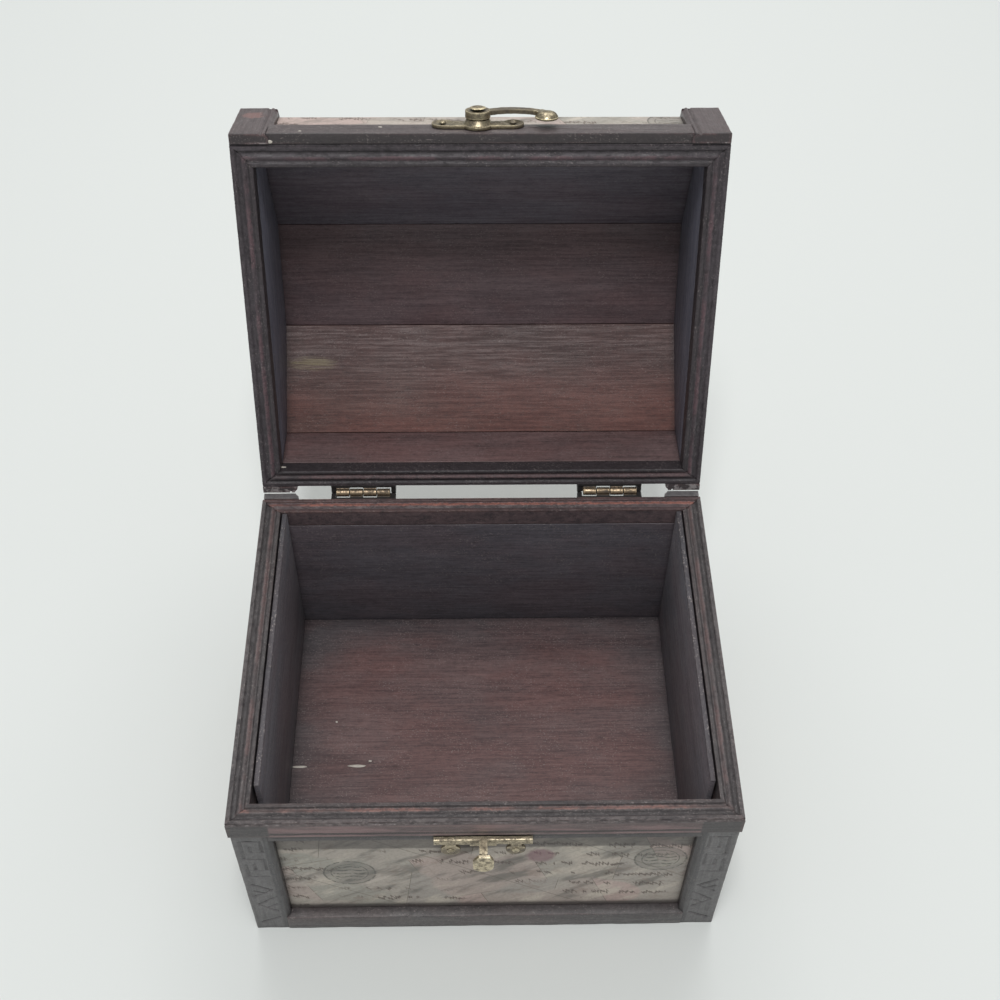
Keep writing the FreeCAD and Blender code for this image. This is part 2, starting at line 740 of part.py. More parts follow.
def build_body():
    bottom, front, back, right = body_boards()
    rim_front, rim_back, rim_left, rim_right = rim_frame(
        front_face, inner_front, board_top, 1, rim_height, (front_shoulder, side_shoulder, back_shoulder))
    nails = catch_nails()
    back_nails = hinge_nails(-1)
    paper_top = board_top - under_rail_height
    front_paper = block(-post_inner, post_inner, front_board_face - paper_thickness, front_board_face,
                        base_height, paper_top)
    side_paper = block(side_board_face, side_board_face + paper_thickness, side_post_front, side_post_back,
                       base_height, board_top)
    back_paper = block(-post_inner, post_inner, back_board_face, back_board_face + paper_thickness,
                       base_height, pin_z - leaf_height - back_paper_gap)
    under_rail = block(-post_inner, post_inner, under_rail_front, front_board_face, paper_top, board_top)
    liner_face = inner_side - liner_gap
    liner = block(liner_face - liner_thickness, liner_face, inner_front + liner_front_gap, inner_back,
                  floor_top, body_height - liner_top_gap)
    post = front_post(post_front, front_board_face, post_outer, 0, board_top, body_carving_shares)
    rear_post = back_post(post_outer, 0, body_height, body_carving_shares)
    right_posts = side_posts()
    rail_front, rail_back, rail_right = base_rails()
    save("bottom_board", bottom)
    save("front_board", without(front, nails))
    save("back_board", back)
    save("left_board", mirrored(right))
    save("right_board", right)
    save("liner_left", mirrored(liner))
    save("liner_right", liner)
    save("rim_front", rim_front)
    save("rim_back", without(rim_back, back_nails))
    save("rim_left", rim_left)
    save("rim_right", rim_right)
    save("front_under_rail", under_rail)
    save("base_rail_front", rail_front)
    save("base_rail_back", rail_back)
    save("base_rail_left", mirrored(rail_right))
    save("base_rail_right", rail_right)
    save("post_front_left", mirrored(post))
    save("post_front_right", post)
    save("post_back_left", mirrored(rear_post))
    save("post_back_right", rear_post)
    save("side_posts_left", *[mirrored(each) for each in right_posts])
    save("side_posts_right", *right_posts)
    save("paper_front", without(front_paper, nails))
    save("paper_back", back_paper)
    save("paper_sides", mirrored(side_paper), side_paper)
    save("catch_plate", catch())
    save("catch_nails", *nails)
    save("hinge_body_leaf_left", hinge_leaf(left_hinge_x, -1, 1))
    save("hinge_body_leaf_right", hinge_leaf(right_hinge_x, -1, 1))
    save("hinge_pins", hinge_pin(left_hinge_x), hinge_pin(right_hinge_x))
    save("hinge_body_nails", *back_nails)


def build_lid():
    rim_front, rim_back, rim_left, rim_right = rim_frame(
        lid_front_face, lid_inner_front, lid_rim_top, -1, lid_rim_height,
        (lid_front_shoulder, side_shoulder, back_shoulder))
    nails = latch_nails()
    rivet = latch_rivet()
    back_nails = hinge_nails(1)
    front_board, back_board = lid_boards()
    stave_front = stave(-low_corner_share, -top_corner_share, low_corner(-1), top_corner(-1))
    stave_top = stave(-top_corner_share, top_corner_share, top_corner(-1), top_corner(1))
    stave_back = stave(top_corner_share, low_corner_share, top_corner(1), low_corner(1))
    post_edge = side_face - post_width
    rail = block(-post_edge, post_edge, lid_trim_face, lid_front_face, lid_base, rail_top)
    post = front_post(lid_trim_face, lid_front_face, side_face, lid_base, spring, lid_carving_shares)
    rear_post = back_post(side_face, lid_base, spring, lid_carving_shares)
    end = lid_end()
    trim = end_trim()
    band = arch_band()
    end_paper = lid_end_paper()
    save_lid("lid_rim_front", rim_front)
    save_lid("lid_rim_back", without(rim_back, back_nails))
    save_lid("lid_rim_left", rim_left)
    save_lid("lid_rim_right", rim_right)
    save_lid("lid_front_board", front_board)
    save_lid("lid_back_board", back_board)
    save_lid("lid_stave_front", stave_front)
    save_lid("lid_stave_top", stave_top)
    save_lid("lid_stave_back", stave_back)
    save_lid("lid_end_left", mirrored(end))
    save_lid("lid_end_right", end)
    save_lid("lid_front_rail", without(rail, nails + [rivet]))
    save_lid("lid_post_front_left", mirrored(post))
    save_lid("lid_post_front_right", post)
    save_lid("lid_post_back_left", mirrored(rear_post))
    save_lid("lid_post_back_right", rear_post)
    save_lid("lid_arch_band_left", mirrored(band))
    save_lid("lid_arch_band_right", band)
    save_lid("lid_end_trim_left", mirrored(trim))
    save_lid("lid_end_trim_right", trim)
    save_lid("lid_paper", lid_paper())
    save_lid("lid_paper_ends", mirrored(end_paper), end_paper)
    save_lid("latch_plate", latch_base())
    save_lid("latch_nails", *nails)
    save_lid("latch_rivet", rivet)
    save_lid("hinge_lid_leaf_left", hinge_leaf(left_hinge_x, 1, 0))
    save_lid("hinge_lid_leaf_right", hinge_leaf(right_hinge_x, 1, 0))
    save_lid("hinge_lid_nails", *back_nails)
    save_lid("latch_hook", hook())


os.makedirs("parts", exist_ok=True)
build_body()
build_lid()
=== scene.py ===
import json
import math

import bmesh
import bpy
from mathutils import Matrix, Vector, noise


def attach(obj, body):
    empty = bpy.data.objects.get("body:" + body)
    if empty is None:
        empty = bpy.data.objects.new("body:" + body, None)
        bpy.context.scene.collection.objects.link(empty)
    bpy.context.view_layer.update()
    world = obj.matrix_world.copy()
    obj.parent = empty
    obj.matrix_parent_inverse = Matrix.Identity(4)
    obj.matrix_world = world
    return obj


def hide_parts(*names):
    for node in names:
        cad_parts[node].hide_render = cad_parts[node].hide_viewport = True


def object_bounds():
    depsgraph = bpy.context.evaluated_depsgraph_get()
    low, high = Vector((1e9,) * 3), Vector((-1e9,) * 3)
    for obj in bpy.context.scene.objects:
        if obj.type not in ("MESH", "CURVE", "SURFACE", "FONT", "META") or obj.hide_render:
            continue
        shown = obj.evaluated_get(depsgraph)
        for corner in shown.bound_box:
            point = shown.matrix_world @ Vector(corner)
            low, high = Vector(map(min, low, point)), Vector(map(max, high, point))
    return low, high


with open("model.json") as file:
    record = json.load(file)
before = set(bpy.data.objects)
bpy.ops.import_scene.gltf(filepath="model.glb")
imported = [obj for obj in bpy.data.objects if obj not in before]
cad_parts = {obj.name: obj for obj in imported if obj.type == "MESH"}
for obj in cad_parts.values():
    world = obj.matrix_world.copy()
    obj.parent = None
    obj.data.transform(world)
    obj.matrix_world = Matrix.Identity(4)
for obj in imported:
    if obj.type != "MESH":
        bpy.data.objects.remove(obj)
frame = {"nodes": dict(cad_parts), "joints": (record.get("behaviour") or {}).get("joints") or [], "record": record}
cad_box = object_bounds()
mm = 0.001

# The view: a camera above and in front of the open box, looking down into it at
# about fifty degrees, with a normal lens.
eye = bpy.data.cameras.new("eye")
eye.lens = 50.21
eye.sensor_width = 36.0
eye.clip_start = 0.01
camera = bpy.data.objects.new("eye", eye)
camera.location = (-2.352 * mm, -151.291 * mm, 353.774 * mm)
camera.rotation_euler = (math.radians(39.541), math.radians(-0.596), math.radians(-0.988))
bpy.context.scene.collection.objects.link(camera)
bpy.context.scene.camera = camera
bpy.context.scene.view_settings.view_transform = "Standard"

# The table: a plain pale sheet that the box stands on, in a soft daylight studio with a
# lamp high up and a little in front, a broad weaker one behind, and light all round.
table_mesh = bpy.data.meshes.new("table")
table_half = 3.0
table_mesh.from_pydata([(-table_half, -table_half, 0), (table_half, -table_half, 0),
                        (table_half, table_half, 0), (-table_half, table_half, 0)],
                       [], [(0, 1, 2, 3)])
table = bpy.data.objects.new("table", table_mesh)
bpy.context.scene.collection.objects.link(table)


def new_finish(name):
    """An empty material, with its node tree and its shader."""
    finish = bpy.data.materials.new(name)
    finish.use_nodes = True
    return finish, finish.node_tree, finish.node_tree.nodes["Principled BSDF"]


table_paint, _, table_shader = new_finish("table_paint")
table_shader.inputs["Base Color"].default_value = (0.745, 0.765, 0.75, 1)
table_shader.inputs["Roughness"].default_value = 0.9
table_shader.inputs["Specular IOR Level"].default_value = 0.1
table_mesh.materials.append(table_paint)

for name, size, power, place in (("high_lamp", 0.24, 6.4, (-0.02, -0.235, 1.15)),
                                 ("back_lamp", 0.9, 5.4, (0.05, 0.8, 0.95))):
    lamp_data = bpy.data.lights.new(name, "AREA")
    lamp_data.shape = "SQUARE"
    lamp_data.size = size
    lamp_data.energy = power
    lamp = bpy.data.objects.new(name, lamp_data)
    lamp.location = place
    aim = Vector((0.0, 0.06, 0.05)) - lamp.location
    lamp.rotation_euler = aim.to_track_quat("-Z", "Y").to_euler()
    bpy.context.scene.collection.objects.link(lamp)

studio = bpy.data.worlds.new("studio")
studio.use_nodes = True
bpy.context.scene.world = studio
sky = studio.node_tree.nodes["Background"]
sky.inputs["Color"].default_value = (0.97, 1.0, 0.99, 1)
sky.inputs["Strength"].default_value = 0.4


# The boards of the body: thin softwood, sawn and glued edge to edge, wiped with a thin
# red-brown stain that leaves the grain and darker patches showing.
def tone(red, green, blue):
    """A colour given as screen values, as the linear one that shaders take."""
    return tuple(((c / 255 + 0.055) / 1.055) ** 2.4 for c in (red, green, blue)) + (1.0,)


def add(tree, kind, feeds=None, **settings):
    """A node with its settings; feeds gives each input a value or another node's socket."""
    node = tree.nodes.new(kind)
    for key, value in settings.items():
        setattr(node, key, value)
    for key, value in (feeds or {}).items():
        if isinstance(value, bpy.types.NodeSocket):
            tree.links.new(value, node.inputs[key])
        else:
            node.inputs[key].default_value = value
    return node


def sums(tree, operation, first, second=0.0):
    """One step of arithmetic on values or sockets."""
    return add(tree, "ShaderNodeMath", {0: first, 1: second}, operation=operation).outputs[0]


def times(tree, first, second):
    return sums(tree, "MULTIPLY", first, second)


def spread(tree, value, low, high, to_low=0.0, to_high=1.0):
    """A value moved from one range to another and held inside it."""
    feeds = {"Value": value, "From Min": low, "From Max": high, "To Min": to_low, "To Max": to_high}
    return add(tree, "ShaderNodeMapRange", feeds, interpolation_type="SMOOTHSTEP").outputs[0]


def blended(tree, share, first, second, blend_type="MIX"):
    """Two colours mixed by a share."""
    node = add(tree, "ShaderNodeMix", data_type="RGBA", blend_type=blend_type)
    for key, value in ((0, share), (6, first), (7, second)):
        if isinstance(value, bpy.types.NodeSocket):
            tree.links.new(value, node.inputs[key])
        else:
            node.inputs[key].default_value = value
    return node.outputs[2]


def cloud(tree, place, scale, detail=3.0, rough=0.55):
    """Soft noise over the piece; scale gives its size along each of the three directions."""
    sized = add(tree, "ShaderNodeMapping", {"Vector": place, "Scale": scale})
    feeds = {"Vector": sized.outputs[0], "Scale": 1.0, "Detail": detail, "Roughness": rough}
    return add(tree, "ShaderNodeTexNoise", feeds).outputs[0]


def new_group(name, inputs, outputs):
    """An empty shader group: its tree, the sockets that come in and those that go out."""
    tree = bpy.data.node_groups.new(name, "ShaderNodeTree")
    for label, kind, value in inputs:
        socket = tree.interface.new_socket(label, in_out="INPUT", socket_type=kind)
        if value is not None:
            socket.default_value = value
    for label, kind in outputs:
        tree.interface.new_socket(label, in_out="OUTPUT", socket_type=kind)
    return tree, tree.nodes.new("NodeGroupInput").outputs, tree.nodes.new("NodeGroupOutput").inputs


# Grain runs along the first number of a piece's stored place, in millimetres.
wood_grain, given, gives = new_group(
    "wood_grain", [("Place", "NodeSocketVector", None)],
    [("Fibre", "NodeSocketFloat"), ("Figure", "NodeSocketFloat"), ("Pores", "NodeSocketFloat")])
fibre = cloud(wood_grain, given["Place"], (0.07, 1.5, 1.5), 5.0, 0.65)
figure = cloud(wood_grain, given["Place"], (0.022, 0.14, 0.14), 3.0, 0.6)
pores = cloud(wood_grain, given["Place"], (0.4, 4.2, 4.2), 2.0, 0.6)
wood_grain.links.new(spread(wood_grain, fibre, 0.3, 0.7), gives["Fibre"])
wood_grain.links.new(spread(wood_grain, figure, 0.33, 0.68), gives["Figure"])
wood_grain.links.new(spread(wood_grain, pores, 0.56, 0.7), gives["Pores"])

# Stain rubs off where an edge stands proud, and more in some stretches than in others.
rubbed_edges, given, gives = new_group(
    "rubbed_edges", [("Place", "NodeSocketVector", None), ("Reach", "NodeSocketFloat", 0.0006)],
    [("Worn", "NodeSocketFloat")])
proud = add(rubbed_edges, "ShaderNodeAmbientOcclusion", {"Distance": given["Reach"]}, samples=6, inside=True,
            only_local=True).outputs["AO"]
patches = cloud(rubbed_edges, given["Place"], (0.05, 0.2, 0.2), 4.0, 0.65)
speckle = cloud(rubbed_edges, given["Place"], (0.9, 2.2, 2.2), 3.0, 0.7)
edge = spread(rubbed_edges, proud, 0.9, 0.55)
patchy = spread(rubbed_edges, patches, 0.36, 0.62, 0.1, 1.0)
grainy = spread(rubbed_edges, speckle, 0.36, 0.56, 0.2, 1.0)
worn = times(rubbed_edges, edge, times(rubbed_edges, patchy, grainy))
rubbed_edges.links.new(worn, gives["Worn"])

# The corners are darkened by painted shade, where nearby faces close in, and pale dust lies in specks on the rest.
marks_and_corner_shade, given, gives = new_group(
    "marks_and_corner_shade", [("Place", "NodeSocketVector", None), ("Reach", "NodeSocketFloat", 0.0025)],
    [("Corners", "NodeSocketFloat"), ("Specks", "NodeSocketFloat"), ("Mottle", "NodeSocketFloat"),
     ("Blotches", "NodeSocketFloat")])
closed_in = add(marks_and_corner_shade, "ShaderNodeAmbientOcclusion", {"Distance": given["Reach"]},
                samples=6).outputs["AO"]
specks = cloud(marks_and_corner_shade, given["Place"], (1.8, 2.6, 2.6), 1.0, 0.5)
blotches = cloud(marks_and_corner_shade, given["Place"], (0.4, 0.7, 0.7), 8.0, 0.85)
where = cloud(marks_and_corner_shade, given["Place"], (0.12, 0.2, 0.2), 2.0, 0.5)
mottle = cloud(marks_and_corner_shade, given["Place"], (0.7, 0.9, 0.9), 7.0, 0.8)
marks_and_corner_shade.links.new(spread(marks_and_corner_shade, closed_in, 0.9, 0.35), gives["Corners"])
marks_and_corner_shade.links.new(times(marks_and_corner_shade, spread(marks_and_corner_shade, specks, 0.6, 0.7),
                            spread(marks_and_corner_shade, where, 0.4, 0.6, 0.2, 1.0)), gives["Specks"])
marks_and_corner_shade.links.new(spread(marks_and_corner_shade, blotches, 0.5, 0.6), gives["Blotches"])
marks_and_corner_shade.links.new(spread(marks_and_corner_shade, mottle, 0.34, 0.66), gives["Mottle"])

pore_black = tone(34, 29, 31)
blotch_black = tone(46, 42, 45)
corner_shade_black = tone(40, 36, 39)
dust_grey = tone(168, 158, 154)
redder_tint = (1.12, 0.84, 0.8, 1.0)
wall_shade_tint = (0.56, 0.76, 0.82, 1.0)
wall_reach = 20 * mm


def stained(name, dark, light, rubbed, wear=0.5, reach=0.7, streaks=0.45, blotch=0.2, dust=0.3, gloss=0.5,
            relief=0.2, corner_shade=0.5, warm=0.0, wall_shade=0.0, extra=None):
    """Stained wood: grain between two tones, black blotches, rubbed edges, painted corner shade and specks of
    dust.

    reach is how wide the rubbed edges are in mm, warm how far redder clouds of stain show,
    corner_shade how far painted shade darkens the corners, and wall_shade how far painted
    shade darkens and dulls the wood towards a wall."""
    finish, tree, shader = new_finish(name)
    place = add(tree, "ShaderNodeAttribute", attribute_name="grain").outputs["Vector"]
    grain = add(tree, "ShaderNodeGroup", node_tree=wood_grain)
    edges = add(tree, "ShaderNodeGroup", node_tree=rubbed_edges)
    marks_and_shade = add(tree, "ShaderNodeGroup", node_tree=marks_and_corner_shade)
    for each in (grain, edges, marks_and_shade):
        tree.links.new(place, each.inputs["Place"])
    edges.inputs["Reach"].default_value = reach * mm
    share = sums(tree, "ADD", times(tree, grain.outputs["Fibre"], streaks),
                 times(tree, grain.outputs["Figure"], 0.3))
    share = sums(tree, "ADD", share, times(tree, marks_and_shade.outputs["Mottle"], 0.7 - streaks))
    colour = blended(tree, share, dark, light)
    colour = blended(tree, times(tree, grain.outputs["Pores"], streaks), colour, pore_black)
    colour = blended(tree, times(tree, marks_and_shade.outputs["Blotches"], blotch), colour, blotch_black)
    if warm:
        clouds = spread(tree, cloud(tree, place, (0.03, 0.06, 0.06), 5.0, 0.65), 0.38, 0.62)
        colour = blended(tree, times(tree, clouds, warm), colour, redder_tint, "MULTIPLY")
    # painted shade: darker and less red towards a wall, where the walls close in
    if wall_shade:
        walls = add(tree, "ShaderNodeAmbientOcclusion", {"Distance": wall_reach}, samples=6).outputs["AO"]
        near_wall = spread(tree, walls, 0.9, 0.45)
        colour = blended(tree, times(tree, near_wall, wall_shade), colour, wall_shade_tint, "MULTIPLY")
    if extra:
        colour = extra(tree, colour)
    colour = blended(tree, times(tree, edges.outputs["Worn"], wear), colour, rubbed)
    # painted shade: the wood darkens in the corners, where nearby faces close in
    colour = blended(tree, times(tree, marks_and_shade.outputs["Corners"], corner_shade), colour, corner_shade_black)
    colour = blended(tree, times(tree, marks_and_shade.outputs["Specks"], dust), colour, dust_grey)
    tree.links.new(colour, shader.inputs["Base Color"])
    rough = spread(tree, grain.outputs["Fibre"], 0.0, 1.0, gloss + 0.1, gloss - 0.05)
    tree.links.new(rough, shader.inputs["Roughness"])
    shader.inputs["Specular IOR Level"].default_value = 0.45
    height = sums(tree, "SUBTRACT", times(tree, grain.outputs["Fibre"], streaks), grain.outputs["Pores"])
    height = sums(tree, "ADD", height, times(tree, marks_and_shade.outputs["Blotches"], -blotch))
    height = sums(tree, "ADD", height, times(tree, marks_and_shade.outputs["Mottle"], 0.6))
    bump = add(tree, "ShaderNodeBump", {"Height": height, "Strength": relief, "Distance": 0.12 * mm})
    tree.links.new(bump.outputs[0], shader.inputs["Normal"])
    return finish


hinge = next(joint for joint in frame["joints"] if joint["name"] == "lid_hinge")
pin = Vector(hinge["pos_m"])
open_angle = math.radians(hinge["range_deg"][1])
to_closed = Matrix.Translation(pin) @ Matrix.Rotation(open_angle, 4, "X") @ Matrix.Translation(-pin)
body_of_node = {node: body for body, nodes in frame["record"]["behaviour"]["bodies"].items() for node in nodes}


def directions(node, along):
    """The piece's own frame while closed: its matrix, and the order of axes with the grain first."""
    home = Matrix.Identity(4) if body_of_node[node] == "box" else to_closed
    return home, {"X": (0, 1, 2), "Y": (1, 0, 2), "Z": (2, 0, 1)}[along]


def roughened(mesh, amount, pitch, seed):
    """Sinks each point a little way into the wood, so that no face or edge is dead straight."""
    offset = Vector((seed * 3.1, seed * 1.7, seed * 0.9))
    moves = [min(noise.noise(point.co / (pitch * mm) + offset) - 0.8, 0.0) * 0.6 for point in mesh.vertices]
    normals = [point.normal.copy() for point in mesh.vertices]
    for point, move, normal in zip(mesh.vertices, moves, normals):
        point.co += normal * (move * amount * mm)


def fitted(mesh, node, along, finish, seed, over=0.0, square=0.0):
    """The finished mesh becomes a piece that stands for its node and keeps its place along the grain.

    No point leaves the node's box, but for what the ends may run over into a neighbour, and
    points nearer to an end or a back face than square are brought up to it. Each point keeps
    its place twice: with the grain first, and as if the lid were closed. Both are in mm, and
    so are over and square."""
    home, order = directions(node, along)
    back = home.inverted()
    old = [home @ point.co for point in frame["nodes"][node].data.vertices]
    low = [min(point[k] for point in old) for k in range(3)]
    high = [max(point[k] for point in old) for k in range(3)]
    low[order[0]] -= over * mm
    high[order[0]] += over * mm
    low[2] = max(low[2], 0.0)
    start = Vector((seed * 61.3, seed * 17.9, seed * 7.7))
    layer = mesh.attributes.new("grain", "FLOAT_VECTOR", "POINT")
    closed = mesh.attributes.new("closed", "FLOAT_VECTOR", "POINT")
    for index, point in enumerate(mesh.vertices):
        place = home @ point.co
        for k in range(3):
            if k == order[0] or (k == 1 and "back" in node):
                if place[k] > high[k] - square * mm:
                    place[k] = high[k]
                if place[k] < low[k] + square * mm and k == order[0]:
                    place[k] = low[k]
        place = Vector([min(max(place[k], low[k]), high[k]) for k in range(3)])
        point.co = [min(max(value, cad_box[0][k]), cad_box[1][k]) for k, value in enumerate(back @ place)]
        layer.data[index].vector = Vector([place[k] / mm for k in order]) + start
        closed.data[index].vector = place / mm
    mesh.shade_smooth()
    mesh.set_sharp_from_angle(angle=math.radians(38))
    mesh.materials.clear()
    mesh.materials.append(finish)
    piece = bpy.data.objects.new("made_" + node, mesh)
    bpy.context.scene.collection.objects.link(piece)
    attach(piece, body_of_node[node])
    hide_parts(node)
    return piece


def solid_of(node, along="X", over=0.0):
    """The node's own shape, with its ends moved out by over along the grain."""
    shape = bmesh.new()
    shape.from_mesh(frame["nodes"][node].data)
    bmesh.ops.remove_doubles(shape, verts=shape.verts, dist=0.001 * mm)
    shape.normal_update()
    home, order = directions(node, along)
    axis = Vector((0, 0, 0))
    axis[order[0]] = 1.0
    axis = home.to_3x3().inverted() @ axis
    ends = {}
    for face in shape.faces:
        facing = face.normal.dot(axis)
        if abs(facing) > 0.3:
            for corner in face.verts:
                ends[corner] = math.copysign(over * mm, facing)
    for corner, move in ends.items():
        corner.co += axis * move
    return shape, axis


def meshed(shape, node):
    """The shape as a mesh of its own."""
    mesh = bpy.data.meshes.new("made_" + node)
    shape.to_mesh(mesh)
    shape.free()
    return mesh


def planed(node, along, finish, edge=0.2, pitch=2.5, uneven=0.1, over=0.0):
    """A board or strip: eased edges, cut into short lengths along the grain, slightly uneven."""
    seed = len(made) + 1
    shape, axis = solid_of(node, along, over)
    bmesh.ops.dissolve_limit(shape, angle_limit=math.radians(0.5), verts=shape.verts, edges=shape.edges)
    corners = [e for e in shape.edges
               if len(e.link_faces) == 2 and e.calc_face_angle(0.0) > math.radians(35)
               and e.calc_length() > 1.2 * mm]
    bmesh.ops.bevel(shape, geom=corners, offset=edge * mm, offset_type="OFFSET", segments=2, profile=0.5,
                    affect="EDGES", clamp_overlap=False)
    reaches = [axis.dot(v.co) for v in shape.verts]
    cuts = max(int((max(reaches) - min(reaches)) / (pitch * mm)), 2)
    for index in range(1, cuts):
        at = min(reaches) + (max(reaches) - min(reaches)) * index / cuts
        bmesh.ops.bisect_plane(shape, geom=shape.verts[:] + shape.edges[:] + shape.faces[:],
                               plane_co=axis * at, plane_no=axis, dist=0.0005 * mm)
    mesh = meshed(shape, node)
    roughened(mesh, uneven, 4.0, seed)
    made[node] = fitted(mesh, node, along, finish, seed, over)
    return made[node]


def closed_place(tree):
    """A point's place in mm while the lid is closed, whole and as three numbers."""
    closed = add(tree, "ShaderNodeAttribute", attribute_name="closed").outputs["Vector"]
    return closed, add(tree, "ShaderNodeSeparateXYZ", {0: closed}).outputs


def graded_tint(axis, start, end, at_start, at_end):
    """A tint that changes between two places along an axis, in mm while closed."""
    def extra(tree, colour):
        along = closed_place(tree)[1][axis]
        tint = blended(tree, spread(tree, along, start, end), at_start, at_end)
        return blended(tree, 1.0, colour, tint, "MULTIPLY")
    return extra


made = {}
floor_stain = stained("floor_stain", tone(71, 55, 56), tone(117, 93, 91), tone(128, 96, 90), 0.3,
                      warm=0.6, wall_shade=1.0, extra=graded_tint(1, 8, 80, (1.0, 1.02, 1.03, 1), (1.3, 1.38, 1.4, 1)))
# painted light: the wall is lighter towards its foot, offsetting the shade there
wall_stain = stained("wall_stain", tone(69, 65, 71), tone(104, 98, 105), tone(115, 96, 95), 0.4,
                     warm=0.4, corner_shade=0.3, extra=graded_tint(2, 8, 45, (1.55, 1.7, 1.7, 1), (1.08, 1.14, 1.14, 1)))
front_stain = stained("front_stain", tone(58, 50, 52), tone(96, 84, 84), tone(120, 94, 90), 0.5, warm=0.6)
planed("bottom_board", "X", floor_stain)
planed("back_board", "X", wall_stain)
for node in ("front_board", "left_board", "right_board"):
    planed(node, "X" if node == "front_board" else "Y", front_stain)

# The linings: two loose thin slips of wood inside the sides, stained grey-brown. They end a
# little short of the front, and their top edges took more of the dark stain.
lining_stain = stained("lining_stain", tone(92, 86, 93), tone(128, 124, 130), tone(128, 124, 125), 0.5, 0.5,
                       streaks=0.2, dust=0.6, corner_shade=0.3, warm=0.4,
                       extra=graded_tint(2, 58.0, 58.5, (1.1, 1.2, 1.2, 1), (0.45, 0.47, 0.47, 1)))
for node in ("liner_left", "liner_right"):
    planed(node, "Y", lining_stain, 0.3, 1.5, 0.14)


# The rims of the body and lid: moulded strips, mitred at the corners, nearly black, with the
# bead rubbed through to red-brown. They are softened all over, as cheap mouldings are.
def moulded(node, along, finish, grid=0.25, soften=3, keep=0.35, uneven=0.1, bumps=1.6, over=0.0, square=0.0,
            work=None):
    """A carved or moulded piece: rebuilt on a fine grid, smoothed, thinned out and roughened.

    work moves each point, given in mm as if the lid were closed."""
    seed = len(made) + 1
    blank = bpy.data.objects.new("blank", meshed(solid_of(node, along, over)[0], node))
    bpy.context.scene.collection.objects.link(blank)
    gridded = blank.modifiers.new("grid", "REMESH")
    gridded.mode = "VOXEL"
    gridded.voxel_size = grid * mm
    softened = blank.modifiers.new("soften", "SMOOTH")
    softened.factor = 0.5
    softened.iterations = soften
    thinned = blank.modifiers.new("thin", "DECIMATE")
    thinned.ratio = keep
    ready = blank.evaluated_get(bpy.context.evaluated_depsgraph_get())
    worked = bpy.data.meshes.new_from_object(ready)
    bpy.data.objects.remove(blank)
    roughened(worked, uneven, bumps, seed)
    if work:
        home = directions(node, along)[0]
        for point in worked.vertices:
            point.co = home.inverted() @ (work(home @ point.co / mm) * mm)
        clean = bmesh.new()
        clean.from_mesh(worked)
        bmesh.ops.remove_doubles(clean, verts=clean.verts, dist=0.02 * mm)
        bmesh.ops.dissolve_degenerate(clean, edges=clean.edges, dist=0.01 * mm)
        clean.to_mesh(worked)
        clean.free()
    made[node] = fitted(worked, node, along, finish, seed, over, square)
    return made[node]


def darker_below(level, dark, share):
    """Darker on the faces below a height, which are turned down while the lid is closed."""
    def extra(tree, colour):
        height = closed_place(tree)[1][2]
        pooled = spread(tree, height, level + 0.3, level)
        return blended(tree, times(tree, pooled, share), colour, dark)
    return extra


# in mm, seen from above: the rims' outer side and back faces, and their inner ones
rim_side, rim_back = 60.0, 92.7
mouth_side, mouth_back = 54.7, 88.1
near_face = 0.4
near_step = 0.3


def squared(front, level):
    """Brings a rim's outer faces and its flat outer step back to square after the softening."""
    def work(place):
        if place.y < front + near_face:
            place.y = front
        elif place.y > rim_back - near_face:
            place.y = rim_back
        if abs(place.x) > rim_side - near_face:
            place.x = math.copysign(rim_side, place.x)
        on_step = place.y < front + 1.4 or place.y > rim_back - 0.8 or abs(place.x) > rim_side - 1.0
        if on_step and abs(place.z - level) < near_step:
            place.z = level
        return place
    return work


def rim_lines(inner_front, crest, land, band, rubbed):
    """Darker bands along a rim, by the distance out from its inner edge, wavering a little.

    The bead's top is at crest, rubbed red in lengths. Inside it the land, and outside it the
    hollow, are darker as far as land and band say."""
    def extra(tree, colour):
        closed, (x, y, z) = closed_place(tree)
        out = sums(tree, "MAXIMUM", sums(tree, "SUBTRACT", inner_front, y),
                   sums(tree, "SUBTRACT", y, mouth_back))
        out = sums(tree, "MAXIMUM", out, sums(tree, "SUBTRACT", sums(tree, "ABSOLUTE", x), mouth_side))
        waver = sums(tree, "SUBTRACT", cloud(tree, closed, (0.6, 0.6, 0.6), 4.0, 0.65), 0.5)
        out = sums(tree, "ADD", out, waver)
        inside = times(tree, spread(tree, out, crest - 0.4, crest - 0.8), land)
        hollow = times(tree, spread(tree, out, crest + 0.45, crest + 0.8),
                      spread(tree, out, crest + 2.2, crest + 1.8))
        hollow = times(tree, hollow, band)
        colour = blended(tree, sums(tree, "ADD", inside, hollow), colour, tone(42, 38, 40))
        lengths = spread(tree, cloud(tree, closed, (0.07, 0.07, 0.07), 3.0, 0.6), 0.4, 0.56, 0.15, 1.0)
        speckle = spread(tree, cloud(tree, closed, (1.5, 1.5, 1.5), 4.0, 0.7), 0.34, 0.6, 0.3, 1.0)
        bead = spread(tree, sums(tree, "ABSOLUTE", sums(tree, "SUBTRACT", out, crest)), 0.75, 0.25)
        line = times(tree, bead, times(tree, lengths, speckle))
        return blended(tree, line, colour, rubbed)
    return extra


# where the posts' inner edges stand, to either side of the middle
post_inner = 50.2


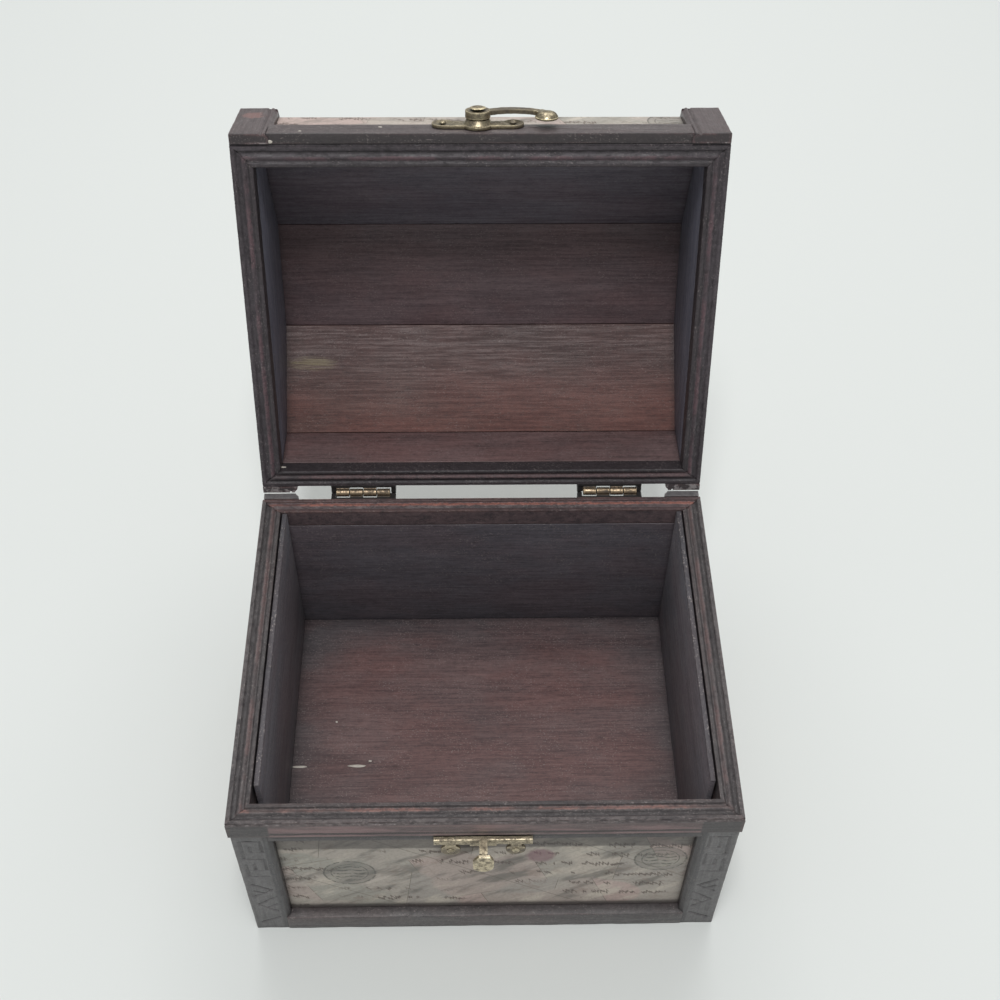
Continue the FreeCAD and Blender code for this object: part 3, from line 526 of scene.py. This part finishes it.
def rim_face(tree, colour):
    """The body's front rim: bands as on the others, and an outer face rubbed red with two lines.

    Its two ends, over the posts, are as dark as they are."""
    colour = rim_lines(1.3, 1.9, 0.55, 0.5, tone(144, 109, 102))(tree, colour)
    closed, (x, y, z) = closed_place(tree)
    face = times(tree, spread(tree, y, -4.1, -4.35), spread(tree, z, 58.7, 57.8))
    between = spread(tree, sums(tree, "ABSOLUTE", x), post_inner + 0.4, post_inner - 0.2)
    ends = times(tree, face, sums(tree, "SUBTRACT", 1.0, between))
    colour = blended(tree, times(tree, ends, 0.7), colour, tone(72, 69, 70))
    face = times(tree, face, between)
    lengths = spread(tree, cloud(tree, closed, (0.05, 0.3, 0.3), 4.0, 0.65), 0.4, 0.58, 0.35, 1.0)
    colour = blended(tree, times(tree, face, lengths), colour, tone(132, 108, 108))
    waver = sums(tree, "SUBTRACT", cloud(tree, closed, (0.2, 0.6, 0.6), 3.0, 0.6), 0.5)
    level = sums(tree, "ADD", z, times(tree, waver, 0.7))
    dark_line = spread(tree, sums(tree, "ABSOLUTE", sums(tree, "SUBTRACT", level, 54.4)), 0.7, 0.3)
    return blended(tree, times(tree, times(tree, face, dark_line), 0.95), colour, tone(62, 54, 55))


rim_look = {"reach": 1.0, "streaks": 0.05, "blotch": 0.75, "dust": 0.25, "gloss": 0.45, "relief": 0.35,
            "corner_shade": 0.45}
front_rim_stain = stained("front_rim_stain", tone(61, 55, 57), tone(98, 91, 90), tone(136, 108, 104), 0.3,
                          extra=rim_face, **rim_look)
rim_stain = stained("rim_stain", tone(62, 59, 60), tone(100, 95, 95), tone(124, 98, 96), 0.25,
                    extra=rim_lines(1.3, 2.0, 0.35, 0.35, tone(108, 88, 87)), **rim_look)


def back_rim_face(tree, colour):
    """The back rim's bead is rubbed most, and its inner face is as pale as the wall below."""
    colour = rim_lines(1.3, 2.8, 0.3, 0.3, tone(170, 112, 100))(tree, colour)
    return graded_tint(2, 58.2, 58.7, (1.75, 1.95, 2.0, 1), (1, 1, 1, 1))(tree, colour)


back_rim_stain = stained("back_rim_stain", tone(66, 52, 54), tone(104, 84, 84), tone(150, 108, 98), 0.4,
                         extra=back_rim_face, **rim_look)
lid_rim_stain = stained("lid_rim_stain", tone(54, 50, 53), tone(86, 79, 84), tone(96, 78, 80), 0.2,
                        extra=rim_lines(3.5, 2.2, 0.4, 0.1, tone(102, 80, 85)), **rim_look)
lid_back_rim_stain = stained("lid_back_rim_stain", tone(44, 41, 44), tone(70, 64, 68), tone(96, 74, 76), 0.2,
                             extra=rim_lines(3.5, 1.9, 0.2, 0.1, tone(98, 76, 78)), **rim_look)
finishes = {"rim_front": front_rim_stain, "rim_back": back_rim_stain, "lid_rim_back": lid_back_rim_stain}
for lid, front, level, plain in (("", -4.4, 59.0, rim_stain), ("lid_", -2.4, 59.5, lid_rim_stain)):
    for side in ("front", "back", "left", "right"):
        node = lid + "rim_" + side
        long_one = side in ("front", "back")
        # the side strips lie a hair under the long ones, which run on over the mitres
        sunk = 0.0 if long_one else (0.04 if lid else -0.04)
        moulded(node, "X" if long_one else "Y", finishes.get(node, plain), soften=10 if lid else 6,
                over=0.35 if long_one else 0.0, work=squared(front, level + sunk))

# The rails: plain square strips glued round the foot and under the front rim, and along the
# lid's front edge, with the arrises rubbed.
rail_look = {"reach": 0.8, "streaks": 0.12, "blotch": 0.35, "dust": 0.3, "gloss": 0.42}
rail_stain = stained("rail_stain", tone(72, 69, 70), tone(107, 103, 103), tone(130, 108, 106), 0.6, warm=0.3,
                     **rail_look)
under_rail_stain = stained("under_rail_stain", tone(60, 57, 58), tone(91, 86, 87), tone(120, 100, 98), 0.5,
                           **rail_look)
lid_rail_stain = stained("lid_rail_stain", tone(68, 60, 61), tone(102, 92, 92), tone(118, 92, 92), 0.5,
                         extra=darker_below(59.9, tone(50, 48, 50), 0.7), **rail_look)
for node in ("base_rail_front", "base_rail_back", "front_under_rail"):
    planed(node, "X", under_rail_stain if node == "front_under_rail" else rail_stain, 0.3, 2.0, 0.18, 1.2)
for node in ("base_rail_left", "base_rail_right"):
    planed(node, "Y", rail_stain, 0.3, 2.0, 0.18, 1.2)
planed("lid_front_rail", "X", lid_rail_stain, 0.12, 2.0, 0.08, 0.6)

# The corner posts: strips carved with a key and a zigzag, filled and dulled by the stain,
# with a bevel along the inner edge. The lid's posts are plain but for one groove.
post_look = {"reach": 0.9, "streaks": 0.1, "blotch": 0.25, "dust": 0.25, "gloss": 0.38, "relief": 0.18,
             "corner_shade": 0.75}
rubbed_patch = (-56.0, -4.9, 74.8)


def shaded_bevel(tree, colour):
    """Painted shade on the posts' inner bevels, which are darkened."""
    closed, (x, y, z) = closed_place(tree)
    waver = times(tree, cloud(tree, closed, (0.5, 0.5, 0.5), 3.0), 1.2)
    inward = spread(tree, sums(tree, "ADD", sums(tree, "ABSOLUTE", x), waver), 53.4, 52.7)
    inward = times(tree, inward, spread(tree, y, 0.0, -1.0))
    return blended(tree, times(tree, inward, 0.6), colour, tone(52, 50, 52))


def lid_post_marks(tree, colour):
    """A dark lower end with a bare edge, and one patch on the left post rubbed to the red."""
    colour = darker_below(59.9, tone(50, 48, 50), 0.7)(tree, colour)
    closed, (x, y, z) = closed_place(tree)
    chipped = spread(tree, cloud(tree, closed, (0.5, 0.5, 0.5), 4.0, 0.7), 0.5, 0.56)
    lower_edge = times(tree, spread(tree, z, 59.7, 59.55), spread(tree, y, -2.9, -2.6))
    colour = blended(tree, times(tree, times(tree, lower_edge, chipped), 0.6), colour, tone(168, 162, 162))
    away = add(tree, "ShaderNodeVectorMath", {0: closed, 1: rubbed_patch},
               operation="DISTANCE").outputs["Value"]
    uneven = times(tree, cloud(tree, closed, (0.5, 0.5, 0.5), 4.0, 0.7), 5.0)
    ragged = sums(tree, "ADD", away, uneven)
    return blended(tree, spread(tree, ragged, 5.6, 4.4, 0.0, 0.7), colour, tone(132, 98, 94))


post_stain = stained("post_stain", tone(84, 82, 83), tone(112, 109, 110), tone(134, 128, 127), 0.6,
                     extra=shaded_bevel, **post_look)
lid_post_stain = stained("lid_post_stain", tone(74, 65, 66), tone(102, 90, 91), tone(122, 94, 94), 0.6,
                         extra=lid_post_marks, **post_look)
for node in ("post_front_left", "post_front_right", "post_back_left", "post_back_right", "side_posts_left",
             "side_posts_right"):
    moulded(node, "Z", post_stain, grid=0.18, soften=2, keep=0.4, uneven=0.1, bumps=3.0, over=0.24, square=0.3)
for node in ("lid_post_front_left", "lid_post_front_right", "lid_post_back_left", "lid_post_back_right"):
    moulded(node, "Z", lid_post_stain, grid=0.18, soften=2, keep=0.4, uneven=0.12, bumps=3.0, over=0.24,
            square=0.3)


# The paper: printed sheets in aged cream, grey and pink, glued into the panels of the body
# and over the dome, with faint marks like old script, ring marks and soft stains.
def old_print_group():
    """The print as a shader group; it takes a place on the sheet in mm."""
    tree, given, gives = new_group("old_print", [("Place", "NodeSocketVector", None)],
                                   [("Tint", "NodeSocketColor"), ("Height", "NodeSocketFloat")])
    place = given["Place"]

    def cells(scale, randomness, shift):
        """Scattered points: how far away the nearest is in mm, and three values that pick it out."""
        moved = add(tree, "ShaderNodeMapping", {"Vector": place, "Location": (shift, shift * 0.37, 0)})
        feeds = {"Vector": moved.outputs[0], "Scale": scale, "Randomness": randomness}
        found = add(tree, "ShaderNodeTexVoronoi", feeds, voronoi_dimensions="2D", feature="F1",
                    distance="EUCLIDEAN")
        parts = add(tree, "ShaderNodeSeparateColor", {0: found.outputs["Color"]})
        return sums(tree, "DIVIDE", found.outputs["Distance"], scale), parts.outputs

    def near(value, target, width):
        """One where the value is within width of the target, falling softly to nothing."""
        away = sums(tree, "ABSOLUTE", sums(tree, "SUBTRACT", value, target))
        return spread(tree, away, width * 1.6, width * 0.5)

    def sheets(turn, width, height, first, second):
        """Rectangles of paper laid in rows, with a thin dark line where one ends."""
        turned = add(tree, "ShaderNodeMapping", {"Vector": place, "Rotation": (0, 0, turn)}).outputs[0]
        feeds = {"Vector": turned, "Color1": first, "Color2": second, "Mortar": tone(112, 104, 94),
                 "Scale": 1.0, "Mortar Size": 0.09, "Mortar Smooth": 0.4, "Brick Width": width,
                 "Row Height": height}
        return add(tree, "ShaderNodeTexBrick", feeds, offset=0.37).outputs["Color"]

    under = sheets(0.11, 37.0, 23.0, tone(202, 191, 180), tone(176, 168, 162))
    over = sheets(-0.32, 29.0, 31.0, tone(202, 178, 172), tone(172, 169, 160))
    laid = cloud(tree, place, (0.045, 0.07, 0.07), 1.0, 0.4)
    colour = blended(tree, spread(tree, laid, 0.47, 0.53), under, over)
    slanted = add(tree, "ShaderNodeMapping", {"Vector": place, "Rotation": (0, 0, -0.6)}).outputs[0]
    shading = cloud(tree, slanted, (0.05, 0.16, 0.1), 4.0, 0.6)
    colour = blended(tree, spread(tree, shading, 0.5, 0.66, 0.0, 0.8), colour, tone(104, 102, 98))
    colour = blended(tree, spread(tree, shading, 0.46, 0.34, 0.0, 0.7), colour, tone(220, 210, 196))
    stain = cloud(tree, place, (0.16, 0.2, 0.2), 5.0, 0.7)
    colour = blended(tree, spread(tree, stain, 0.52, 0.7, 0.0, 0.45), colour, tone(146, 122, 110))

    # rows of script: a line that wanders up and down across each row, broken into words
    axes = add(tree, "ShaderNodeSeparateXYZ", {0: place}).outputs
    row_height = 5.4
    drift = sums(tree, "ADD", axes[1], times(tree, axes[0], 0.06))
    rows = sums(tree, "DIVIDE", drift, row_height)
    level = sums(tree, "SUBTRACT", sums(tree, "FRACT", rows), 0.5)
    down = times(tree, sums(tree, "FLOOR", rows), 13.7)
    leaning = sums(tree, "ADD", axes[0], times(tree, level, 2.0))
    line_place = add(tree, "ShaderNodeCombineXYZ", {0: leaning, 1: down}).outputs[0]
    wander = sums(tree, "SUBTRACT", cloud(tree, line_place, (1.35, 1, 1), 3.0, 0.7), 0.5)
    stroke = near(sums(tree, "SUBTRACT", level, times(tree, wander, 1.3)), 0.0, 0.085)
    words = spread(tree, cloud(tree, line_place, (0.2, 1, 1), 2.0), 0.47, 0.5)
    some = spread(tree, cloud(tree, place, (0.03, 0.06, 0.06), 1.0), 0.42, 0.48)
    script = times(tree, times(tree, stroke, words), some)
    colour = blended(tree, times(tree, script, 0.85), colour, tone(76, 58, 52))

    # ring marks, with wavy lines inside, in some of the cells only
    away, pick_ring = cells(0.024, 0.75, 31.0)
    rings = sums(tree, "MAXIMUM", near(away, 6.4, 0.22), near(away, 4.6, 0.15))
    ripple = times(tree, sums(tree, "SINE", times(tree, axes[0], 1.4)), 0.12)
    waved = sums(tree, "ADD", times(tree, axes[1], 0.55), ripple)
    waves = near(sums(tree, "FRACT", waved), 0.5, 0.16)
    rings = sums(tree, "MAXIMUM", rings, times(tree, waves, spread(tree, away, 4.2, 4.0)))
    picked = spread(tree, pick_ring[0], 0.45, 0.5)
    broken = spread(tree, cloud(tree, place, (0.8, 0.8, 0.8), 4.0, 0.7), 0.36, 0.56)
    rings = times(tree, times(tree, rings, picked), broken)
    inked = times(tree, spread(tree, away, 6.5, 6.2), picked)
    colour = blended(tree, times(tree, inked, 0.4), colour, tone(96, 100, 98))
    colour = blended(tree, times(tree, rings, 0.85), colour, tone(66, 70, 68))
    blot, pick_blot = cells(0.021, 0.9, 77.0)
    blot = sums(tree, "ADD", blot, times(tree, cloud(tree, place, (0.9, 0.9, 0.9), 3.0), 1.6))
    blot = times(tree, spread(tree, blot, 5.0, 3.4), spread(tree, pick_blot[1], 0.5, 0.55))
    colour = blended(tree, times(tree, blot, 0.7), colour, tone(124, 70, 94))

    # a few thin straight lines ruled across the sheets
    tilted = add(tree, "ShaderNodeMapping", {"Vector": place, "Rotation": (0, 0, 0.62)}).outputs[0]
    across = add(tree, "ShaderNodeSeparateXYZ", {0: tilted}).outputs
    lines = near(sums(tree, "FRACT", sums(tree, "DIVIDE", across[1], 27.0)), 0.5, 0.005)
    colour = blended(tree, times(tree, lines, 0.55), colour, tone(92, 88, 78))
    mottle = cloud(tree, place, (1.3, 1.3, 1.3), 4.0, 0.65)
    colour = blended(tree, spread(tree, mottle, 0.4, 0.7, 0.0, 0.35), colour, tone(140, 128, 112))
    tree.links.new(colour, gives["Tint"])
    tree.links.new(sums(tree, "ADD", mottle, times(tree, stain, 0.5)), gives["Height"])
    return tree


old_print = old_print_group()


def printed(name, veil, strength, shade_above=None, shade_below=None):
    """Printed paper under a dull varnish; veil is a tone laid over it, as far as strength says.

    Above and below the two heights, painted shade darkens the paper: a shadow band under the rail, and shade at
    the foot."""
    finish, tree, shader = new_finish(name)
    place = add(tree, "ShaderNodeAttribute", attribute_name="grain").outputs["Vector"]
    sheet = add(tree, "ShaderNodeGroup", {"Place": place}, node_tree=old_print)
    marks_and_shade = add(tree, "ShaderNodeGroup", {"Place": place, "Reach": 5.0 * mm}, node_tree=marks_and_corner_shade)
    colour = blended(tree, strength, sheet.outputs["Tint"], veil)
    # painted shadow under the rail at the top, and painted shade at the foot
    if shade_above:
        height = closed_place(tree)[1][2]
        uneven = times(tree, cloud(tree, place, (0.2, 0.2, 0.2), 3.0), 0.8)
        height = sums(tree, "ADD", height, sums(tree, "SUBTRACT", uneven, 0.4))
        rail_shade = sums(tree, "ADD", spread(tree, height, shade_above, shade_above + 0.9, 0.0, 0.62),
                     spread(tree, height, shade_below + 2.0, shade_below, 0.0, 0.8))
        colour = blended(tree, rail_shade, colour, tone(68, 64, 64))
    # painted shade: the paper darkens in its corners, under the rails
    colour = blended(tree, times(tree, marks_and_shade.outputs["Corners"], 0.75), colour, tone(78, 72, 70))
    tree.links.new(colour, shader.inputs["Base Color"])
    tree.links.new(spread(tree, marks_and_shade.outputs["Mottle"], 0.0, 1.0, 0.46, 0.62), shader.inputs["Roughness"])
    shader.inputs["Specular IOR Level"].default_value = 0.4
    bump = add(tree, "ShaderNodeBump", {"Height": sheet.outputs["Height"], "Strength": 0.3,
                                        "Distance": 0.1 * mm})
    tree.links.new(bump.outputs[0], shader.inputs["Normal"])
    return finish


def papered(node, finish, across, up):
    """A glued sheet; across and up turn a point, in mm and as if closed, into its place on the print."""
    seed = len(made) + 1
    home = directions(node, "X")[0]
    mesh = meshed(solid_of(node)[0], node)
    made[node] = fitted(mesh, node, "X", finish, seed)
    layer = mesh.attributes["grain"]
    for index, point in enumerate(mesh.vertices):
        place = home @ point.co / mm
        layer.data[index].vector = (across(place) + seed * 40.0, up(place) + seed * 23.0, 0.0)
    return made[node]


panel_print = printed("panel_print", tone(126, 122, 116), 0.18)
# the front's paper carries a painted shadow band under its rail and painted shade at its foot
front_print = printed("front_print", tone(126, 122, 116), 0.18, 40.0, 7.6)
dome_print = printed("dome_print", tone(150, 138, 130), 0.2)
# in mm: where the dome starts to curve, its middle and centre, its radius and half its length
spring_z = 80.5
dome_middle = 45.15
dome_centre = 22.5
dome_radius = 75.0
half_arc = 51.5


def over_dome(place):
    """How far round the sheet a point is, measured over the dome from the crown."""
    if place.z < spring_z - 0.01:
        drop = spring_z - place.z
        return half_arc + drop if place.y > dome_middle else -half_arc - drop
    return math.atan2(place.y - dome_middle, place.z - dome_centre) * dome_radius


papered("paper_front", front_print, lambda p: p.x, lambda p: p.z)
papered("paper_back", panel_print, lambda p: -p.x, lambda p: p.z)
papered("paper_sides", panel_print, lambda p: p.y + p.x, lambda p: p.z)
papered("lid_paper", dome_print, lambda p: p.x, over_dome)
papered("lid_paper_ends", dome_print, lambda p: p.y + p.x, lambda p: p.z)


# The lid: front and back boards and three staves inside a bent dome, with flat ends. The back
# stave is painted lighter towards the hinges and darker towards the crown: painted light and shade.
low_stain = stained("low_stain", tone(75, 59, 60), tone(122, 100, 100), tone(128, 94, 90), 0.4, warm=0.5,
                    dust=0.15)
middle_stain = stained("middle_stain", tone(72, 59, 63), tone(111, 94, 97), tone(110, 88, 86), 0.4, warm=0.4,
                       dust=0.15)
dark_stain = stained("dark_stain", tone(79, 74, 83), tone(115, 111, 119), tone(110, 94, 96), 0.4, warm=0.3,
                     dust=0.15)
end_stain = stained("end_stain", tone(88, 88, 100), tone(128, 128, 142), tone(110, 98, 102), 0.4)
missed_patch = (-47.5, 69.2, 87.4)


def bare_corner(tree, colour):
    """Painted light and shade: lighter and redder towards the hinges, darker towards the crown; and the stain
    missed in a streaky patch at the left.
    """
    # painted light towards the hinges and painted shade towards the crown
    colour = graded_tint(2, 76, 91, (1.66, 1.5, 1.44, 1), (0.8, 0.66, 0.67, 1))(tree, colour)
    closed = add(tree, "ShaderNodeAttribute", attribute_name="closed").outputs["Vector"]
    moved = add(tree, "ShaderNodeVectorMath", {0: closed, 1: missed_patch}, operation="SUBTRACT").outputs[0]
    sized = add(tree, "ShaderNodeVectorMath", {0: moved, 1: (0.16, 0.55, 0.55)},
                operation="MULTIPLY").outputs[0]
    away = add(tree, "ShaderNodeVectorMath", {0: sized}, operation="LENGTH").outputs["Value"]
    ragged = sums(tree, "ADD", away, cloud(tree, closed, (0.25, 2.2, 2.2), 4.0, 0.7))
    streaky = spread(tree, cloud(tree, closed, (0.1, 3.0, 3.0), 4.0, 0.7), 0.42, 0.58, 0.1, 0.8)
    missed = times(tree, spread(tree, ragged, 1.8, 1.1), streaky)
    return blended(tree, missed, colour, tone(128, 116, 88))


bare_stain = stained("bare_stain", tone(56, 38, 37), tone(98, 75, 71), tone(128, 96, 90), 0.4, warm=0.7,
                     dust=0.15, extra=bare_corner)
for node, along, finish in (("lid_back_board", "X", low_stain), ("lid_stave_back", "X", bare_stain),
                            ("lid_stave_top", "X", middle_stain), ("lid_stave_front", "X", dark_stain),
                            ("lid_front_board", "X", dark_stain), ("lid_end_left", "Y", end_stain),
                            ("lid_end_right", "Y", end_stain)):
    planed(node, along, finish)

# The arches: strips of thin wood bent and glued over the dome's two edges, and flat arched
# trims that frame the ends. They are stained like the lid's posts.
for node in ("lid_arch_band_left", "lid_arch_band_right", "lid_end_trim_left", "lid_end_trim_right"):
    planed(node, "Y", lid_post_stain, 0.3, 3.0, 0.16)


# The brass: stamped hinges, catch and latch, antiqued in a dark bath and then brushed, so
# that the raised parts are pale gold and the hollows brown-black.
def brushed_brass(name, bath, metal, polished):
    """Antiqued brass; the stored polish says how far each part was brushed clean of the dark bath."""
    finish, tree, shader = new_finish(name)
    place = add(tree, "ShaderNodeAttribute", attribute_name="grain").outputs["Vector"]
    polish = add(tree, "ShaderNodeAttribute", attribute_name="polish").outputs["Fac"]
    edges = add(tree, "ShaderNodeGroup", {"Place": place, "Reach": 0.6 * mm}, node_tree=rubbed_edges)
    marks_and_shade = add(tree, "ShaderNodeGroup", {"Place": place, "Reach": 1.0 * mm}, node_tree=marks_and_corner_shade)
    left = spread(tree, cloud(tree, place, (0.8, 0.8, 0.8), 7.0, 0.8), 0.4, 0.58)
    clean = times(tree, sums(tree, "ADD", times(tree, left, 0.75), 0.25), polish)
    colour = blended(tree, clean, bath, metal)
    colour = blended(tree, times(tree, edges.outputs["Worn"], polish), colour, polished)
    colour = blended(tree, times(tree, marks_and_shade.outputs["Corners"], 0.8), colour, tone(44, 38, 36))
    tree.links.new(colour, shader.inputs["Base Color"])
    tree.links.new(spread(tree, clean, 0.0, 1.0, 0.6, 0.36), shader.inputs["Roughness"])
    tree.links.new(spread(tree, clean, 0.0, 0.5, 0.1, 1.0), shader.inputs["Metallic"])
    height = cloud(tree, place, (1.6, 1.6, 1.6), 4.0, 0.6)
    bump = add(tree, "ShaderNodeBump", {"Height": height, "Strength": 0.3, "Distance": 0.12 * mm})
    tree.links.new(bump.outputs[0], shader.inputs["Normal"])
    return finish


def stamped(node, finish, polish, **how):
    """A brass piece; polish gives each point's share of bright metal, in mm as if the lid were closed."""
    piece = moulded(node, "X", finish, **how)
    home = directions(node, "X")[0]
    layer = piece.data.attributes.new("polish", "FLOAT", "POINT")
    for index, point in enumerate(piece.data.vertices):
        layer.data[index].value = polish(home @ point.co / mm)
    return piece


brass = brushed_brass("brass", tone(66, 58, 55), tone(186, 173, 146), tone(240, 226, 188))
catch_brass = brushed_brass("catch_brass", tone(74, 65, 60), tone(214, 200, 172), tone(250, 238, 206))
dull_brass = brushed_brass("dull_brass", tone(34, 31, 31), tone(172, 152, 128), tone(214, 190, 154))

# The catch: a stamped plate with a bar, two nailed ears and a tongue bent out in front of
# them, which the hook's ball goes behind.
tongue_back = -8.6
tongue_top = 51.9
shoulder_drop = 2.2


def eased_tongue(place):
    """The tongue's shoulders slope in to its neck."""
    if place.y < tongue_back:
        below = min(max((tongue_top - place.z) / shoulder_drop, 0.0), 1.0)
        place.x *= 0.55 + 0.45 * below
    return place


def catch_polish_and_light(place):
    """The ears below the bar are the dullest, painted shade under the bar, and the tongue, which is handled, the
    brightest, with a painted highlight on its top.
    """
    if place.y < -7.0:
        return 1.0
    return 0.35 if place.z < 46.5 else 0.75


stamped("catch_plate", catch_brass, catch_polish_and_light, grid=0.13, soften=3, keep=0.4, uneven=0.08, bumps=1.2,
        work=eased_tongue)
stamped("catch_nails", catch_brass, lambda p: 0.5, grid=0.1, soften=2, keep=0.4, uneven=0.03)

# The latch's two ears are pressed into shallow dishes round their nails, and the hook is
# one casting: a hub, a bent arm and a domed ball that the finger pushes.
latch_x = -0.7
latch_z = 64.8
ear_reach = 8.5
ear_rise = 0.5
dish_radius = 2.1
dish_depth = 0.4
plate_front = -5.5
ball_reach = 16.6
ball_foot = -7.4
ball_height = 1.3


def dished(place):
    """Each ear sinks towards its nail."""
    for side in (-ear_reach, ear_reach):
        away = math.hypot(place.x - latch_x - side, place.z - latch_z - ear_rise)
        if away < dish_radius and place.y < plate_front:
            place.y += dish_depth * (1 - (away / dish_radius) ** 2)
    return place


def plumped(place):
    """The ball is fuller than its solid: steep sides, a flat foot and a rounded crown."""
    across = place.x - latch_x - ball_reach
    up = place.z - latch_z
    away = math.hypot(across, up)
    if away < 2.75:
        high = min(max((ball_foot - place.y) / ball_height, 0.0), 1.0)
        fuller = 1.2 if place.y > ball_foot else 1.04 + 0.5 * high ** 2
        fuller = min(fuller, 2.85 / max(away, 0.1))
        place.x = latch_x + ball_reach + across * fuller
        place.z = latch_z + up * fuller
    return place


def plate_polish_and_shadow(place):
    """The plate is brightest beside the hub, where the hook rubs it, and dull at its right ear, a painted shadow
    of the hook.
    """
    return 0.35 if place.x > 9.0 else 0.95 if place.x > 2.0 else 0.8


def hook_polish_and_shade(place):
    """The ball is handled most, with painted shade on its base by the plate, and the arm hardly."""
    if place.x > 12.7:
        return 1.0 if place.y < -7.1 else 0.5
    return 0.32 if place.x > 2.5 else 0.75


stamped("latch_plate", brass, plate_polish_and_shadow, grid=0.14, soften=6, keep=0.45, uneven=0.06, bumps=1.2, work=dished)
stamped("latch_nails", brass, lambda p: 0.6, grid=0.1, soften=2, keep=0.4, uneven=0.03)
stamped("latch_rivet", brass, lambda p: 0.8, grid=0.1, soften=3, keep=0.4, uneven=0.04)
stamped("latch_hook", brass, hook_polish_and_shade, grid=0.12, soften=7, keep=0.4, uneven=0.08, bumps=1.4, work=plumped)

# The hinges: two small butt hinges of thin brass, nailed on. Only the knuckles round the pin
# were brushed clean of the bath, and those of the body's leaves less than the lid's. The leaves'
# near-black is the bath and also painted shade, for the shadow they sit in.
knuckle_reach = 1.25
knuckles_half = 7.45
for node, middle in (("hinge_body_leaf_left", -32.6), ("hinge_body_leaf_right", 35.2),
                     ("hinge_lid_leaf_left", -32.6), ("hinge_lid_leaf_right", 35.2)):
    shine = 0.65 if "body" in node else 0.95

    def leaf_polish(place):
        on_knuckle = math.hypot(place.y - pin.y / mm, place.z - pin.z / mm) < knuckle_reach
        return shine if on_knuckle and abs(place.x - middle) < knuckles_half else 0.0

    stamped(node, dull_brass, leaf_polish, grid=0.13, soften=2, keep=0.4, uneven=0.04)
for node in ("hinge_pins", "hinge_body_nails", "hinge_lid_nails"):
    stamped(node, dull_brass, lambda p: 0.4, grid=0.12, soften=1, keep=0.4, uneven=0.02)

# Dried glue: small white runs and flecks that squeezed out or fell while the box was made,
# on the bottom board, the lid's back board and the ends of the lid's trim.
glue_paint, glue_tree, glue_shader = new_finish("glue_paint")
glue_place = add(glue_tree, "ShaderNodeTexCoord").outputs["Object"]
cloudy = cloud(glue_tree, glue_place, (900, 900, 900), 3.0)
glue_tree.links.new(blended(glue_tree, cloudy, tone(168, 160, 150), tone(214, 208, 198)),
                    glue_shader.inputs["Base Color"])
glue_tree.links.new(spread(glue_tree, cloudy, 0.3, 0.7, 0.35, 0.6), glue_shader.inputs["Roughness"])
glue_bump = add(glue_tree, "ShaderNodeBump", {"Height": cloudy, "Strength": 0.4, "Distance": 0.1 * mm})
glue_tree.links.new(glue_bump.outputs[0], glue_shader.inputs["Normal"])

# body, closed place of the middle in mm, half lengths along X, Y and Z
flecks = [("box", (-51.0, 38.8, 7.7), (2.0, 0.35, 0.16)), ("box", (-35.2, 38.9, 7.7), (2.4, 0.4, 0.18)),
          ("box", (-31.6, 40.4, 7.7), (0.5, 0.25, 0.12)), ("box", (-41.6, 53.0, 7.7), (0.35, 0.3, 0.1)),
          ("lid", (-54.3, 88.1, 62.0), (0.7, 0.12, 0.45)), ("lid", (-50.3, -2.9, 59.5), (0.7, 0.4, 0.1)),
          ("lid", (-24.2, -4.9, 64.6), (0.5, 0.1, 0.3)), ("lid", (-43.2, -4.9, 61.5), (0.4, 0.1, 0.25))]
for number, (body, middle, halves) in enumerate(flecks):
    shape = bmesh.new()
    bmesh.ops.create_icosphere(shape, subdivisions=3, radius=1.0)
    home = Matrix.Identity(4) if body == "box" else to_closed
    shift = Vector((number * 5.3, 1.7, 0.4))
    for point in shape.verts:
        lump = 1.0 + 0.35 * noise.noise(point.co * 1.3 + shift)
        place = Vector([middle[k] + halves[k] * point.co[k] * lump for k in range(3)]) * mm
        point.co = home.inverted() @ place
    mesh = bpy.data.meshes.new("glue_%d" % (number + 1))
    shape.to_mesh(mesh)
    shape.free()
    mesh.shade_smooth()
    mesh.materials.append(glue_paint)
    piece = bpy.data.objects.new("glue_%d" % (number + 1), mesh)
    bpy.context.scene.collection.objects.link(piece)
    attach(piece, body)
